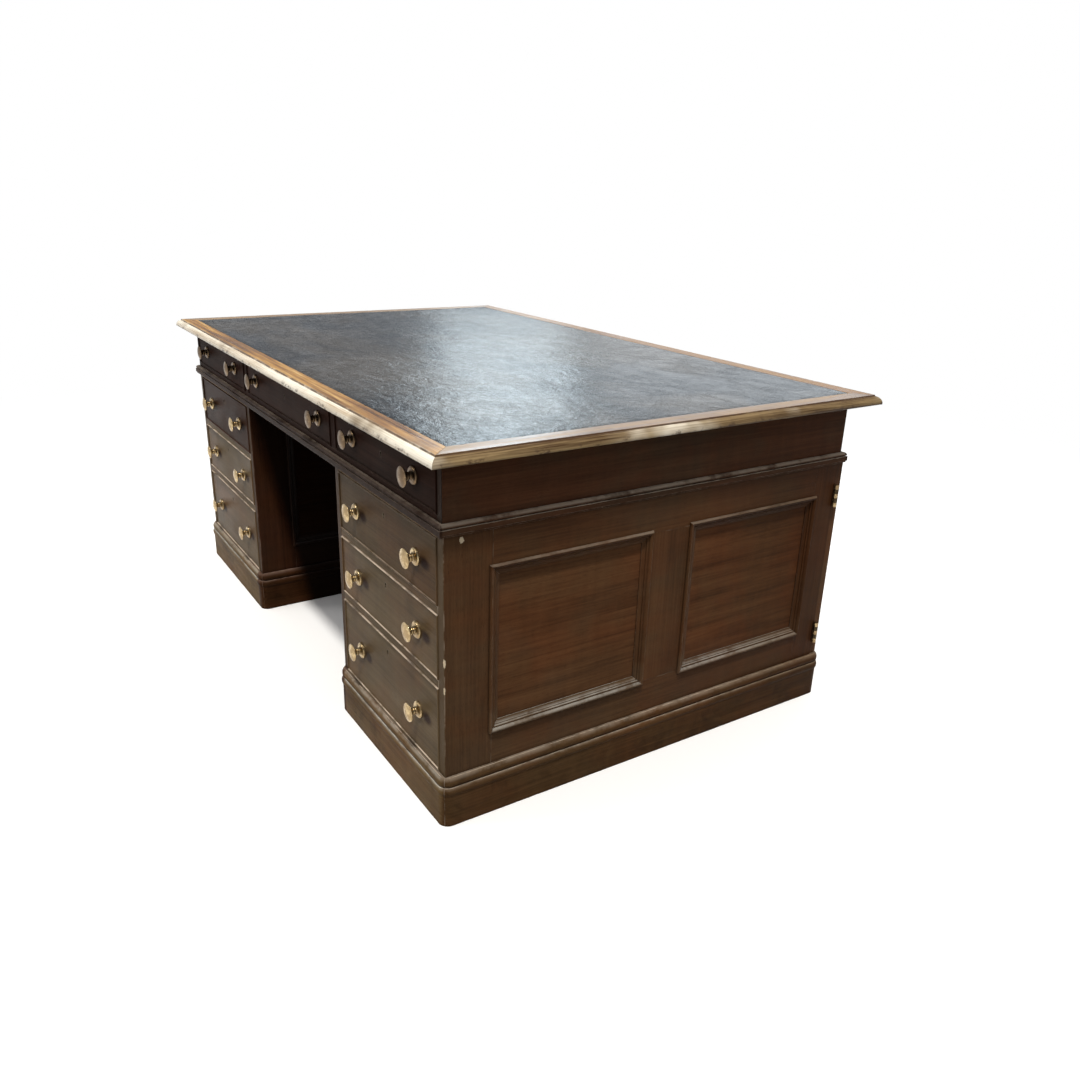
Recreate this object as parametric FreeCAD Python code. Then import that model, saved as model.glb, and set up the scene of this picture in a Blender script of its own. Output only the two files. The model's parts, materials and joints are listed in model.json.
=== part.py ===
import FreeCAD, Part
import math
import os
from FreeCAD import Placement, Rotation, Vector

# A partners desk: a moulded top with an inset writing leather, a frieze with drawers on both long
# sides, and two pedestals. Each pedestal has three drawers in front and a cupboard behind.
#
# Frame: X runs along the desk, to the right as one sits at the drawer side. -Y is the drawer side
# and +Y the cupboard side. Z is up, and the origin is on the floor under the middle of the top.
# All sizes are in millimetres.

# --- The top ------------------------------------------------------------------------------------
length = 1778.0              # over the moulded edge, left to right
depth = 1130.0               # over the moulded edge, front to back
height = 775.0               # floor to writing surface
top_thickness = 21.0
end_overhang = 56.0          # top beyond the frieze, at each end
side_overhang = 46.0         # top beyond the frieze, at the front and the back
border_width = 54.0          # lower arris to the leather
leather_thickness = 1.5
edge_reach = 13.0            # upper arris to lower arris, seen from above
edge_nose = 3.0              # upright flat at the lower arris
edge_drop = 3.0              # upright fillet at the upper arris
edge_step = 1.5              # the step under that fillet
edge_swell = 3.0             # how far the thumb moulding stands out from its chord

# --- The frieze ---------------------------------------------------------------------------------
frieze_height = 142.0
frieze_end_thickness = 18.0
frieze_rail_depth = 22.0
frieze_top_rail = 12.0
frieze_bottom_rail = 34.0
frieze_partition = 28.0      # upright between two frieze drawers
spine_thickness = 16.0       # board between the front drawers and the back drawers
kicker_width = 18.0          # strips that stop an open drawer from tipping
waist_height = 24.0          # the moulding round the foot of the frieze
waist_reach = 14.5
waist_lip = 3.5
waist_bead = 11.0
waist_quirk = 2.0
waist_top_reach = 10.0

# --- The pedestals ------------------------------------------------------------------------------
kneehole_width = 640.0
pedestal_stand_out = 3.0     # pedestal beyond the frieze, at each end
outer_side_thickness = 23.0
inner_side_thickness = 21.0
front_stile = 102.0
rear_stile = 69.0
muntin = 114.0
top_rail = 79.0
bottom_rail = 92.0
panel_thickness = 8.0
panel_recess = 6.0           # panel face behind the face of its frame
panel_tongue = 8.0           # depth of the groove that holds a panel's edge
panel_play = 1.0             # room for a panel to move in that groove
tenon_length = 36.0
tenon_haunch = 3.0           # wood between a tenon and the groove
pedestal_top_thickness = 9.0
pedestal_bottom_thickness = 16.0
drawer_bay_depth = 505.0     # pedestal front to the partition
partition_thickness = 12.0
blade_thickness = 16.0       # rail between two drawers
blade_depth = 60.0
dustboard_thickness = 10.0
top_opening = 135.0          # height of the top drawer's opening
middle_opening = 138.0       # height of the middle drawer's; the bottom drawer's has the rest
arris_radius = 2.0           # worn upright corners of the carcase
shelf_thickness = 14.0
shelf_setback = 92.0         # shelf behind the cupboard's front edge
shelf_height = 240.0         # shelf underside above the cupboard floor
bearer_size = 16.0           # square strips under the shelf

# --- The bolection moulding round each panel ------------------------------------------------------
bolection_lap = 7.0          # over the frame
bolection_spread = 17.0      # over the panel
bolection_rise = 7.0
bolection_fillet = 1.5
bolection_bead = 5.0         # width of the inner bead

# --- The plinths --------------------------------------------------------------------------------
plinth_height = 112.0
plinth_stand_out = 10.0      # flat face beyond the pedestal
plinth_ledge = 12.0          # what the pedestal stands on; also sets the corner's radius
plinth_seat = 16.0           # seat of the pedestal below the plinth's top
plinth_bead_reach = 3.0      # bead beyond the flat face
plinth_bead = 20.0
plinth_quirk = 2.5
plinth_ovolo = 19.5          # height of the moulding above the bead
plinth_top_flat = 6.0

# --- The drawers --------------------------------------------------------------------------------
drawer_gap = 1.0             # drawer front in its opening, all round
slide_gap = 0.5              # drawer sides above what they run on
side_gap = 1.0               # drawer sides in the opening, each side
front_thickness = 20.0
cockbead_width = 4.0
cockbead_depth = 6.0
cockbead_proud = 2.5
lining_thickness = 10.0      # drawer sides and backs
bottom_thickness = 7.0
bottom_raise = 9.0           # drawer bottom above the foot of its sides
side_drop = 5.0              # drawer sides below the top of the front
back_drop = 12.0             # drawer back below the top of the sides
tail_cover = 2.0             # wood between a dovetail and the cock bead
tail_width = 20.0            # a dovetail at its shoulder
tail_flare = 2.0             # how much wider a tail is at its end, on each side
tail_pitch = 38.0
back_clearance = 6.0         # behind a closed drawer
stop_width = 30.0
stop_depth = 12.0
stop_height = 5.0

# --- The doors ----------------------------------------------------------------------------------
door_stand_out = 10.0        # door face beyond the frieze
door_thickness = 18.0
door_gap = 1.0               # behind the door
door_edge_gap = 1.5          # door to the pedestal's edges, plinth and waist
door_stile = 74.0
door_top_rail = 76.0
door_bottom_rail = 76.0

# --- The brass ----------------------------------------------------------------------------------
knob_length = 28.0
knob_base_radius = 18.0
knob_base_rim = 2.0          # upright edge of the base
knob_base_dome = 3.0         # rise of the base's shoulder above that edge
knob_base_step = 6.0         # width of that shoulder
knob_neck_radius = 6.5
knob_cove = 4.5              # length of the hollow between the base and the bead
knob_cove_hollow = 1.2
knob_bead = 6.0              # length of the bead on the neck
knob_bead_swell = 2.2
knob_flare = 3.0             # how far the neck's curve hollows in from a straight cone
knob_head_radius = 19.5
knob_head_rim = 2.0          # upright edge of the head
knob_head_dome = 4.0         # rise of the head's face above that edge
knob_rim_swell = 0.5
stud_radius = 2.5
stud_clearance = 0.3
nut_radius = 6.5
nut_thickness = 4.0
pedestal_knob_spacing = 290.0
middle_knob_spacing = 460.0
keyhole_drop = 28.0          # keyhole below the top of a pedestal drawer's front
frieze_keyhole_drop = 41.0
door_keyhole_rise = 48.0     # keyhole above the knob of a door
keyhole_radius = 2.8
keyhole_slot = 8.0           # from the keyhole's centre to the foot of its slot
keyhole_slot_width = 3.0
escutcheon_wall = 1.2
escutcheon_depth = 4.0
lock_width = 60.0
lock_height = 36.0
lock_thickness = 9.0
door_lock_width = 32.0
door_lock_height = 60.0
hinge_height = 54.0
hinge_knuckles = 5
hinge_gap = 0.4              # between two knuckles
hinge_barrel_radius = 5.0
hinge_axis_out = 5.5         # hinge axis beyond the pedestal's end
hinge_pin_radius = 2.0
hinge_pin_clearance = 0.1
hinge_leaf_width = 20.0
hinge_leaf_thickness = 2.0
hinge_leaf_gap = 0.6         # between the two leaves of a closed hinge
screw_head_radius = 3.6
screw_radius = 1.9
screw_length = 14.0
screw_pitch = 18.0           # between the three screws of a hinge leaf
hinge_inset_top = 50.0       # upper hinge below the top of the door
hinge_inset_bottom = 34.0    # lower hinge above the foot of the door

# --- Places worked out from the sizes above -------------------------------------------------------
half_length = length / 2
half_depth = depth / 2
z_top = height - top_thickness                 # underside of the top
z_waist = z_top - frieze_height                # foot of the frieze, top of the pedestals
z_seat = plinth_height - plinth_seat           # foot of the pedestals
frieze_x = half_length - end_overhang
frieze_y = half_depth - side_overhang
frieze_inner_x = frieze_x - frieze_end_thickness
z_frieze_floor = z_waist + frieze_bottom_rail
z_frieze_ceiling = z_top - frieze_top_rail

pedestal_in = kneehole_width / 2
pedestal_out = frieze_x + pedestal_stand_out
pedestal_front = -frieze_y
door_face = frieze_y + door_stand_out
pedestal_back = door_face - door_thickness - door_gap
bay_in = pedestal_in + inner_side_thickness
bay_out = pedestal_out - outer_side_thickness
z_floor = z_seat + pedestal_bottom_thickness   # floor of the bottom drawer and the cupboard
z_ceiling = z_waist - pedestal_top_thickness
partition_y = pedestal_front + drawer_bay_depth
z_upper_blade = z_ceiling - top_opening - blade_thickness
z_lower_blade = z_upper_blade - middle_opening - blade_thickness

hinge_x = pedestal_out + hinge_axis_out
hinge_y = pedestal_back + door_gap / 2
door_top = z_waist - door_edge_gap * 2
door_foot = plinth_height + door_edge_gap
hinge_feet = (door_foot + hinge_inset_bottom, door_top - hinge_inset_top - hinge_height)


# --- Helpers --------------------------------------------------------------------------------------
def block(xs, ys, zs):
    """A rectangular board between two values of x, of y and of z, in any order."""
    low = Vector(min(xs), min(ys), min(zs))
    high = Vector(max(xs), max(ys), max(zs))
    size = high - low
    return Part.makeBox(size.x, size.y, size.z, low)


def across(side, *xs):
    """Values of x on the right (side 1) or mirrored to the left (side -1)."""
    return tuple(side * x for x in xs)


def swell_point(here, there, swell):
    """The middle of an arc from here to there that stands out from its chord by swell."""
    along = (there[0] - here[0], there[1] - here[1])
    chord = math.hypot(*along)
    normal = (along[1] / chord, -along[0] / chord)
    return ((here[0] + there[0]) / 2 + normal[0] * swell, (here[1] + there[1]) / 2 + normal[1] * swell)


def quarter(radius):
    """The swell that makes a quarter circle of this radius."""
    return radius * (1 - math.sqrt(0.5))


def section(profile, to_space):
    """A closed face from a profile: a list of (out, rise) points. A third number makes the step to
    that point an arc with that swell, to the right of the direction of travel when positive."""
    edges = []
    here = profile[0]
    for there in profile[1:] + profile[:1]:
        start, end = to_space(*here[:2]), to_space(*there[:2])
        if len(there) > 2:
            middle = to_space(*swell_point(here, there, there[2]))
            edges.append(Part.Arc(start, middle, end).toShape())
        else:
            edges.append(Part.LineSegment(start, end).toShape())
        here = there
    return Part.Face(Part.Wire(edges))


def mitred_frame(half_width, half_height, profile):
    """Four mitred lengths of moulding round a rectangle in the XY plane, centred on the origin.
    The profile's out is measured outward from the rectangle, and its rise along +Z."""
    reach = max(abs(point[0]) for point in profile) + 1
    rises = [point[1] for point in profile]
    deepest, tallest = min(rises) - reach, max(rises) + reach
    lengths = []
    for turn in range(4):
        along, aside = (half_width, half_height) if turn % 2 == 0 else (half_height, half_width)
        far = along + reach
        end_face = section(profile, lambda out, rise: Vector(-far, -aside - out, rise))
        bar = end_face.extrude(Vector(2 * far, 0, 0))
        corners = [(-far, -aside - reach), (far, -aside - reach), (along - reach, reach - aside),
                   (reach - along, reach - aside)]
        outline = Part.makePolygon([Vector(x, y, deepest) for x, y in corners + corners[:1]])
        wedge = Part.Face(outline).extrude(Vector(0, 0, tallest - deepest))
        length_of_moulding = bar.common(wedge).Solids[0]
        length_of_moulding.rotate(Vector(0, 0, 0), Vector(0, 0, 1), 90 * turn)
        lengths.append(length_of_moulding)
    return lengths


def stand_up(shapes, centre, width_way, height_way):
    """Place shapes made in the XY plane so that X follows width_way and Y follows height_way."""
    out_way = width_way.cross(height_way)
    turn = Rotation(width_way, height_way, out_way, "XYZ")
    placed = []
    for shape in shapes:
        shape = shape.copy()
        shape.Placement = Placement(centre, turn).multiply(shape.Placement)
        placed.append(shape)
    return placed


def soften(shape, edge_test, radius):
    """Round the edges of a shape that pass the test."""
    edges = [edge for edge in shape.Edges if edge_test(edge)]
    return shape.makeFillet(radius, edges)


def upright_at(x, y):
    """A test for the upright edge at x, y."""
    def test(edge):
        box = edge.BoundBox
        return box.XLength + box.YLength < 0.01 and math.hypot(box.XMin - x, box.YMin - y) < 0.01
    return test


def save(name, solids):
    """Write one sub-part, as one STEP file of its separate solids."""
    shape = solids[0] if len(solids) == 1 else Part.makeCompound(solids)
    shape.exportStep(os.path.join("parts", name + ".step"))
    print("%-30s %3d solids %12.0f mm3" % (name, len(solids), sum(solid.Volume for solid in solids)))


# --- The top ------------------------------------------------------------------------------------
def top_border():
    """The mitred border, its edge worked with a fillet and a thumb moulding."""
    profile = [
        (-border_width, 0),
        (0, 0),
        (0, edge_nose),
        (edge_step - edge_reach, top_thickness - edge_drop, edge_swell),
        (-edge_reach, top_thickness - edge_drop),
        (-edge_reach, top_thickness),
        (-border_width, top_thickness),
    ]
    return stand_up(mitred_frame(half_length, half_depth, profile), Vector(0, 0, z_top),
                    Vector(1, 0, 0), Vector(0, 1, 0))


def top_layer(z_low, z_high):
    """A flat sheet inside the border."""
    x, y = half_length - border_width, half_depth - border_width
    return block((-x, x), (-y, y), (z_low, z_high))


# --- The frieze ---------------------------------------------------------------------------------
def frieze_ends():
    ends = []
    for side in (-1, 1):
        end = block(across(side, frieze_inner_x, frieze_x), (-frieze_y, frieze_y), (z_waist, z_top))
        for y in (-frieze_y, frieze_y):
            end = soften(end, upright_at(side * frieze_x, y), arris_radius)
        ends.append(end)
    return ends


def frieze_bays():
    """The x limits of the left, middle and right frieze openings."""
    half_middle = pedestal_in - frieze_partition / 2
    return {
        "left": (-frieze_inner_x, -half_middle - frieze_partition),
        "middle": (-half_middle, half_middle),
        "right": (half_middle + frieze_partition, frieze_inner_x),
    }


def frieze_framing():
    """Rails above and below the drawers, the uprights between them, the spine and the kickers."""
    pieces = [block((-frieze_inner_x, frieze_inner_x), (-spine_thickness / 2, spine_thickness / 2),
                    (z_frieze_floor, z_top))]
    bays = frieze_bays()
    for facing in (-1, 1):
        face, rail_back = facing * frieze_y, facing * (frieze_y - frieze_rail_depth)
        spine_face = facing * spine_thickness / 2
        for z_low, z_high in ((z_waist, z_frieze_floor), (z_frieze_ceiling, z_top)):
            pieces.append(block((-frieze_inner_x, frieze_inner_x), (face, rail_back), (z_low, z_high)))
        for x_low, x_high in ((bays["left"][1], bays["middle"][0]), (bays["middle"][1], bays["right"][0])):
            pieces.append(block((x_low, x_high), (face, spine_face), (z_frieze_floor, z_frieze_ceiling)))
        for x_low, x_high in bays.values():
            for x, inward in ((x_low, 1), (x_high, -1)):
                pieces.append(block((x, x + inward * kicker_width), (rail_back, spine_face),
                                    (z_frieze_ceiling, z_top)))
    return pieces


def waist_moulding():
    """An ovolo over a torus bead, mitred round the foot of the frieze."""
    bead_root = waist_reach - waist_bead / 2
    z_bead = waist_lip + waist_bead
    ovolo = waist_height - z_bead - waist_quirk
    profile = [
        (0, 0),
        (bead_root, 0),
        (bead_root, waist_lip),
        (bead_root, z_bead, waist_bead / 2),
        (bead_root - waist_quirk, z_bead),
        (bead_root - waist_quirk, z_bead + waist_quirk),
        (waist_top_reach, z_bead + waist_quirk),
        (waist_top_reach - ovolo, waist_height, quarter(ovolo)),
        (0, waist_height),
    ]
    return stand_up(mitred_frame(frieze_x, frieze_y, profile), Vector(0, 0, z_waist),
                    Vector(1, 0, 0), Vector(0, 1, 0))


# --- The pedestals ------------------------------------------------------------------------------
def panel_bays():
    """The two openings in the frame of a pedestal side, as limits of y, and their limits of z."""
    start, end = pedestal_front + front_stile, pedestal_back - rear_stile
    width = (end - start - muntin) / 2
    return ((start, start + width), (end - width, end)), (z_seat + bottom_rail, z_waist - top_rail)


def side_faces(side):
    """The outer and the kneehole side: the x of the face, which way it looks, and its thickness."""
    return (
        (side * pedestal_out, side, outer_side_thickness),
        (side * pedestal_in, -side, inner_side_thickness),
    )


def widened(limits, extra):
    """Limits moved apart by extra at each end."""
    return (limits[0] - extra, limits[1] + extra)


def panelled_frame(place, thickness, uprights, rails):
    """A frame with tenoned rails, and panels that float in its grooves. The place function makes a board
    from its limits along the frame, into its thickness, and up. The uprights are the limits of the
    stiles, with any muntin between them, and the rails those of the bottom and the top rail."""
    core = (panel_recess, panel_recess + panel_thickness)
    through = (0, thickness)
    first, last = uprights[0], uprights[-1]
    (foot, z_low), (z_high, head) = rails
    shoulder = panel_tongue + tenon_haunch
    stiles = [place(us, through, (foot, head)) for us in (first, last)]
    boards = [place((first[1], last[0]), through, zs) for zs in rails]
    muntins = [place(us, through, (z_low, z_high)) for us in uprights[1:-1]]
    for board, zs in enumerate(rails):
        for stile, edge, way in ((0, first[1], -1), (1, last[0], 1)):
            tenon = place((edge, edge + way * tenon_length), core, widened(zs, -shoulder))
            boards[board] = boards[board].fuse(tenon)
            stiles[stile] = stiles[stile].cut(tenon)
    for upright, us in enumerate(uprights[1:-1]):
        for board, edge, way in ((0, z_low, -1), (1, z_high, 1)):
            tenon = place(widened(us, -shoulder), core, (edge, edge + way * tenon_length))
            muntins[upright] = muntins[upright].fuse(tenon)
            boards[board] = boards[board].cut(tenon)
    pieces = stiles + boards + muntins
    panels = []
    for left, right in zip(uprights, uprights[1:]):
        bay, zs = (left[1], right[0]), (z_low, z_high)
        groove = place(widened(bay, panel_tongue), core, widened(zs, panel_tongue))
        pieces = [piece.cut(groove) for piece in pieces]
        tongue = panel_tongue - panel_play
        panels.append(place(widened(bay, tongue), core, widened(zs, tongue)))
    return [piece.removeSplitter().Solids[0] for piece in pieces], panels


def hinge_seat(side):
    """The room that the fixed leaves of a pedestal's hinges take from its rear stile."""
    leaf_face = pedestal_back + door_gap / 2 - hinge_leaf_gap / 2
    seats = []
    for z in hinge_feet:
        seats.append(block(across(side, pedestal_out - hinge_leaf_width, hinge_x),
                           (leaf_face - hinge_leaf_thickness, pedestal_back + door_gap),
                           (z, z + hinge_height)))
    return seats


def pedestal_side(side, face, looks, thickness):
    """The frame and the panels of one side of a pedestal."""
    def place(ys, depths, zs):
        return block([face - looks * deep for deep in depths], ys, zs)

    (front_bay, rear_bay), (z_low, z_high) = panel_bays()
    uprights = ((pedestal_front, front_bay[0]), (front_bay[1], rear_bay[0]), (rear_bay[1], pedestal_back))
    pieces, panels = panelled_frame(place, thickness, uprights, ((z_seat, z_low), (z_high, z_waist)))
    pieces[0] = soften(pieces[0], upright_at(face, pedestal_front), arris_radius)
    if looks == side:
        screws = sum((hinge_screws(side, z, -1) for z in hinge_feet), [])
        pieces[1] = without(pieces[1], hinge_seat(side) + screws)
    return pieces, panels


def side_frames(side):
    """Stiles, rails and muntins of both sides of one pedestal."""
    return sum((pedestal_side(side, *faces)[0] for faces in side_faces(side)), [])


def side_panels(side):
    """The flat panels of both sides of one pedestal."""
    return sum((pedestal_side(side, *faces)[1] for faces in side_faces(side)), [])


def bolection(half_width, half_height):
    """A bolection moulding round a panel opening. It laps over the frame and covers the panel's edge."""
    crest = bolection_lap - 2 * bolection_fillet
    step = -bolection_bead / 2
    bead_end = step - bolection_bead
    profile = [
        (0, 0),
        (bolection_lap, 0),
        (bolection_lap, bolection_fillet),
        (crest, bolection_rise, bolection_fillet / 2),
        (step, bolection_fillet, bolection_fillet),
        (step - bolection_fillet, bolection_fillet),
        (bead_end, -bolection_fillet, bolection_fillet),
        (bead_end - bolection_fillet, -bolection_fillet),
        (-bolection_spread, bolection_fillet - panel_recess, -bolection_fillet / 2),
        (-bolection_spread, -panel_recess),
        (0, -panel_recess),
    ]
    return mitred_frame(half_width, half_height, profile)


def side_mouldings(side):
    """The bolection mouldings of both sides of one pedestal."""
    bays, (z_low, z_high) = panel_bays()
    lengths = []
    for face, looks, _ in side_faces(side):
        for y_low, y_high in bays:
            centre = Vector(face, (y_low + y_high) / 2, (z_low + z_high) / 2)
            frame = bolection((y_high - y_low) / 2, (z_high - z_low) / 2)
            lengths += stand_up(frame, centre, Vector(0, looks, 0), Vector(0, 0, 1))
    return lengths


def drawer_blades(side):
    """The two rails between the drawers, flush with the stiles."""
    xs = across(side, bay_in, bay_out)
    ys = (pedestal_front, pedestal_front + blade_depth)
    return [block(xs, ys, (z, z + blade_thickness)) for z in (z_lower_blade, z_upper_blade)]


def pedestal_boards(side):
    """Top board, bottom board and the partition between the drawers and the cupboard."""
    xs = across(side, bay_in, bay_out)
    whole = (pedestal_front, pedestal_back)
    return [
        block(xs, whole, (z_seat, z_floor)),
        block(xs, whole, (z_ceiling, z_waist)),
        block(xs, (partition_y, partition_y + partition_thickness), (z_floor, z_ceiling)),
    ]


def dustboards(side):
    """Thin boards that the drawers run on, level with the tops of the blades."""
    xs = across(side, bay_in, bay_out)
    ys = (pedestal_front + blade_depth, partition_y)
    tops = (z_lower_blade + blade_thickness, z_upper_blade + blade_thickness)
    return [block(xs, ys, (z - dustboard_thickness, z)) for z in tops]


def frieze_dustboard():
    """The floor of the frieze, between the front and back rails."""
    x, y = frieze_inner_x, frieze_y - frieze_rail_depth
    return block((-x, x), (-y, y), (z_frieze_floor - dustboard_thickness, z_frieze_floor))


def cupboard_shelf(side):
    """A loose shelf and the two bearers that it rests on."""
    z = z_floor + shelf_height
    ys = (partition_y + partition_thickness, pedestal_back - shelf_setback)
    pieces = [block(across(side, bay_in + side_gap, bay_out - side_gap), ys, (z, z + shelf_thickness))]
    for x, inward in ((bay_in, 1), (bay_out, -1)):
        pieces.append(block(across(side, x, x + inward * bearer_size), ys, (z - bearer_size, z)))
    return pieces


def plinth(side):
    """Four mitred lengths round the foot of a pedestal, with round corners and a moulded top edge."""
    z_ovolo = plinth_height - plinth_ovolo
    z_quirk = z_ovolo - plinth_quirk
    z_bead = z_quirk - plinth_bead
    profile = [
        (-plinth_ledge, 0),
        (plinth_stand_out, 0),
        (plinth_stand_out, z_bead),
        (plinth_stand_out, z_quirk, plinth_bead_reach),
        (plinth_stand_out - plinth_quirk, z_quirk),
        (plinth_stand_out - plinth_quirk, z_ovolo),
        (plinth_stand_out, z_ovolo),
        (plinth_top_flat, plinth_height, plinth_bead_reach),
        (-plinth_ledge, plinth_height),
    ]
    x_middle = (pedestal_in + pedestal_out) / 2
    y_middle = (pedestal_front + door_face) / 2
    half_x = (pedestal_out - pedestal_in) / 2
    half_y = (door_face - pedestal_front) / 2
    seat = block(across(side, pedestal_in, pedestal_out), (pedestal_front, pedestal_back), (z_seat, z_waist))
    lengths = []
    for turn in range(4):
        along, aside = (half_x, half_y) if turn % 2 == 0 else (half_y, half_x)
        start = along - plinth_ledge
        face = section(profile, lambda out, z: Vector(-start, -aside - out, z))
        length_of_plinth = face.extrude(Vector(2 * start, 0, 0))
        for end in (-1, 1):
            face = section(profile, lambda out, z: Vector(end * start, -aside - out, z))
            corner = face.revolve(Vector(end * start, plinth_ledge - aside, 0), Vector(0, 0, 1), 45 * end)
            length_of_plinth = length_of_plinth.fuse(corner)
        if turn == 2:
            filler_back = plinth_ledge + door_thickness + door_gap
            length_of_plinth = length_of_plinth.fuse(
                block((-start, start), (plinth_ledge - aside, filler_back - aside), (0, plinth_height)))
        length_of_plinth.rotate(Vector(0, 0, 0), Vector(0, 0, 1), 90 * turn)
        length_of_plinth.translate(Vector(side * x_middle, y_middle, 0))
        length_of_plinth = length_of_plinth.cut(seat).removeSplitter()
        lengths.append(length_of_plinth.Solids[0])
    return lengths


# --- Brass --------------------------------------------------------------------------------------
def cap_swell(radius, rise):
    """The swell from the rim of a cap to its middle that makes the cap part of a ball."""
    chord = math.hypot(radius, rise)
    ball = chord ** 2 / (2 * rise)
    return ball - math.sqrt(ball ** 2 - chord ** 2 / 4)


def knob(x, z, face, facing, thickness):
    """A turned reel knob on wood whose face is at y = face and looks along facing, with its stud."""
    base_top = knob_base_rim + knob_base_dome
    bead_foot = base_top + knob_cove
    head_top = knob_length - knob_head_dome
    profile = [
        (0, 0),
        (knob_base_radius, 0),
        (knob_base_radius, knob_base_rim),
        (knob_base_radius - knob_base_step, base_top, cap_swell(knob_base_step, knob_base_dome)),
        (knob_neck_radius, bead_foot, -knob_cove_hollow),
        (knob_neck_radius, bead_foot + knob_bead, knob_bead_swell),
        (knob_head_radius, head_top - knob_head_rim, -knob_flare),
        (knob_head_radius, head_top, knob_rim_swell),
        (0, knob_length, cap_swell(knob_head_radius, knob_head_dome)),
    ]
    turned = section(profile, lambda radius, out: Vector(radius, facing * out, 0))
    body = turned.revolve(Vector(0, 0, 0), Vector(0, 1, 0), 360)
    stud = Part.makeCylinder(stud_radius, thickness + nut_thickness, Vector(0, 0, 0), Vector(0, -facing, 0))
    whole = body.fuse(stud).removeSplitter()
    whole.translate(Vector(x, face, z))
    return whole.Solids[0]


def keyhole(x, z, y_range, wall):
    """The room inside a keyhole, or inside its brass lining when wall is that lining's thickness."""
    low, high = min(y_range), max(y_range)
    start, run = Vector(x, low, z), high - low
    round_part = Part.makeCylinder(keyhole_radius + wall, run, start, Vector(0, 1, 0))
    half_slot = keyhole_slot_width / 2 + wall
    slot = block((x - half_slot, x + half_slot), (low, high), (z - keyhole_slot - wall, z))
    return round_part.fuse(slot).removeSplitter()


def nut(x, z, back, facing):
    """The nut behind a knob, threaded on its stud."""
    ring = Part.makeCylinder(nut_radius, nut_thickness, Vector(x, back, z), Vector(0, -facing, 0))
    hole = Part.makeCylinder(stud_radius, nut_thickness, Vector(x, back, z), Vector(0, -facing, 0))
    return ring.cut(hole).Solids[0]


def escutcheon(x, z, face, facing):
    """The thin brass lining of a keyhole, flush with the wood."""
    ys = (face, face - facing * escutcheon_depth)
    return keyhole(x, z, ys, escutcheon_wall).cut(keyhole(x, z, ys, 0)).Solids[0]


def lock(x, z, back, facing, width, height):
    """A lock on the back of the wood, with the key's way in."""
    ys = (back, back - facing * lock_thickness)
    case = block(widened((x, x), width / 2), ys, widened((z, z), height / 2))
    return case.cut(keyhole(x, z, (back, back - facing * lock_thickness / 2), 0)).Solids[0]


def bore_for_brass(board, knobs, key, face, facing, thickness):
    """Drill a board for its knobs' studs and its keyhole."""
    for x, z in knobs:
        board = board.cut(Part.makeCylinder(stud_radius + stud_clearance, thickness, Vector(x, face, z),
                                            Vector(0, -facing, 0)))
    x, z = key
    board = board.cut(keyhole(x, z, (face, face - facing * thickness), 0))
    board = board.cut(keyhole(x, z, (face, face - facing * escutcheon_depth), escutcheon_wall))
    return board.Solids[0]


def brass_set(knobs, key, lock_size, face, facing, thickness):
    """The knobs, nuts, escutcheon and lock of one drawer or door."""
    back = face - facing * thickness
    pieces = [knob(x, z, face, facing, thickness) for x, z in knobs]
    pieces += [nut(x, z, back, facing) for x, z in knobs]
    return pieces + [escutcheon(*key, face, facing), lock(*key, back, facing, *lock_size)]


# --- Drawers ------------------------------------------------------------------------------------
def tails(xs, shoulder, way, long, z_low, z_high):
    """Dovetails, each as long as asked, that run along way from y = shoulder in the board between xs."""
    count = max(1, int((z_high - z_low) // tail_pitch))
    pitch = (z_high - z_low) / count
    end = shoulder + way * long
    pieces = []
    for place in range(count):
        z = z_low + pitch * (place + 0.5)
        narrow, wide = tail_width / 2, tail_width / 2 + tail_flare
        corners = [(shoulder, z - narrow), (shoulder, z + narrow), (end, z + wide), (end, z - wide)]
        outline = Part.makePolygon([Vector(min(xs), y, level) for y, level in corners + corners[:1]])
        pieces.append(Part.Face(outline).extrude(Vector(abs(xs[1] - xs[0]), 0, 0)))
    return pieces


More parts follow.
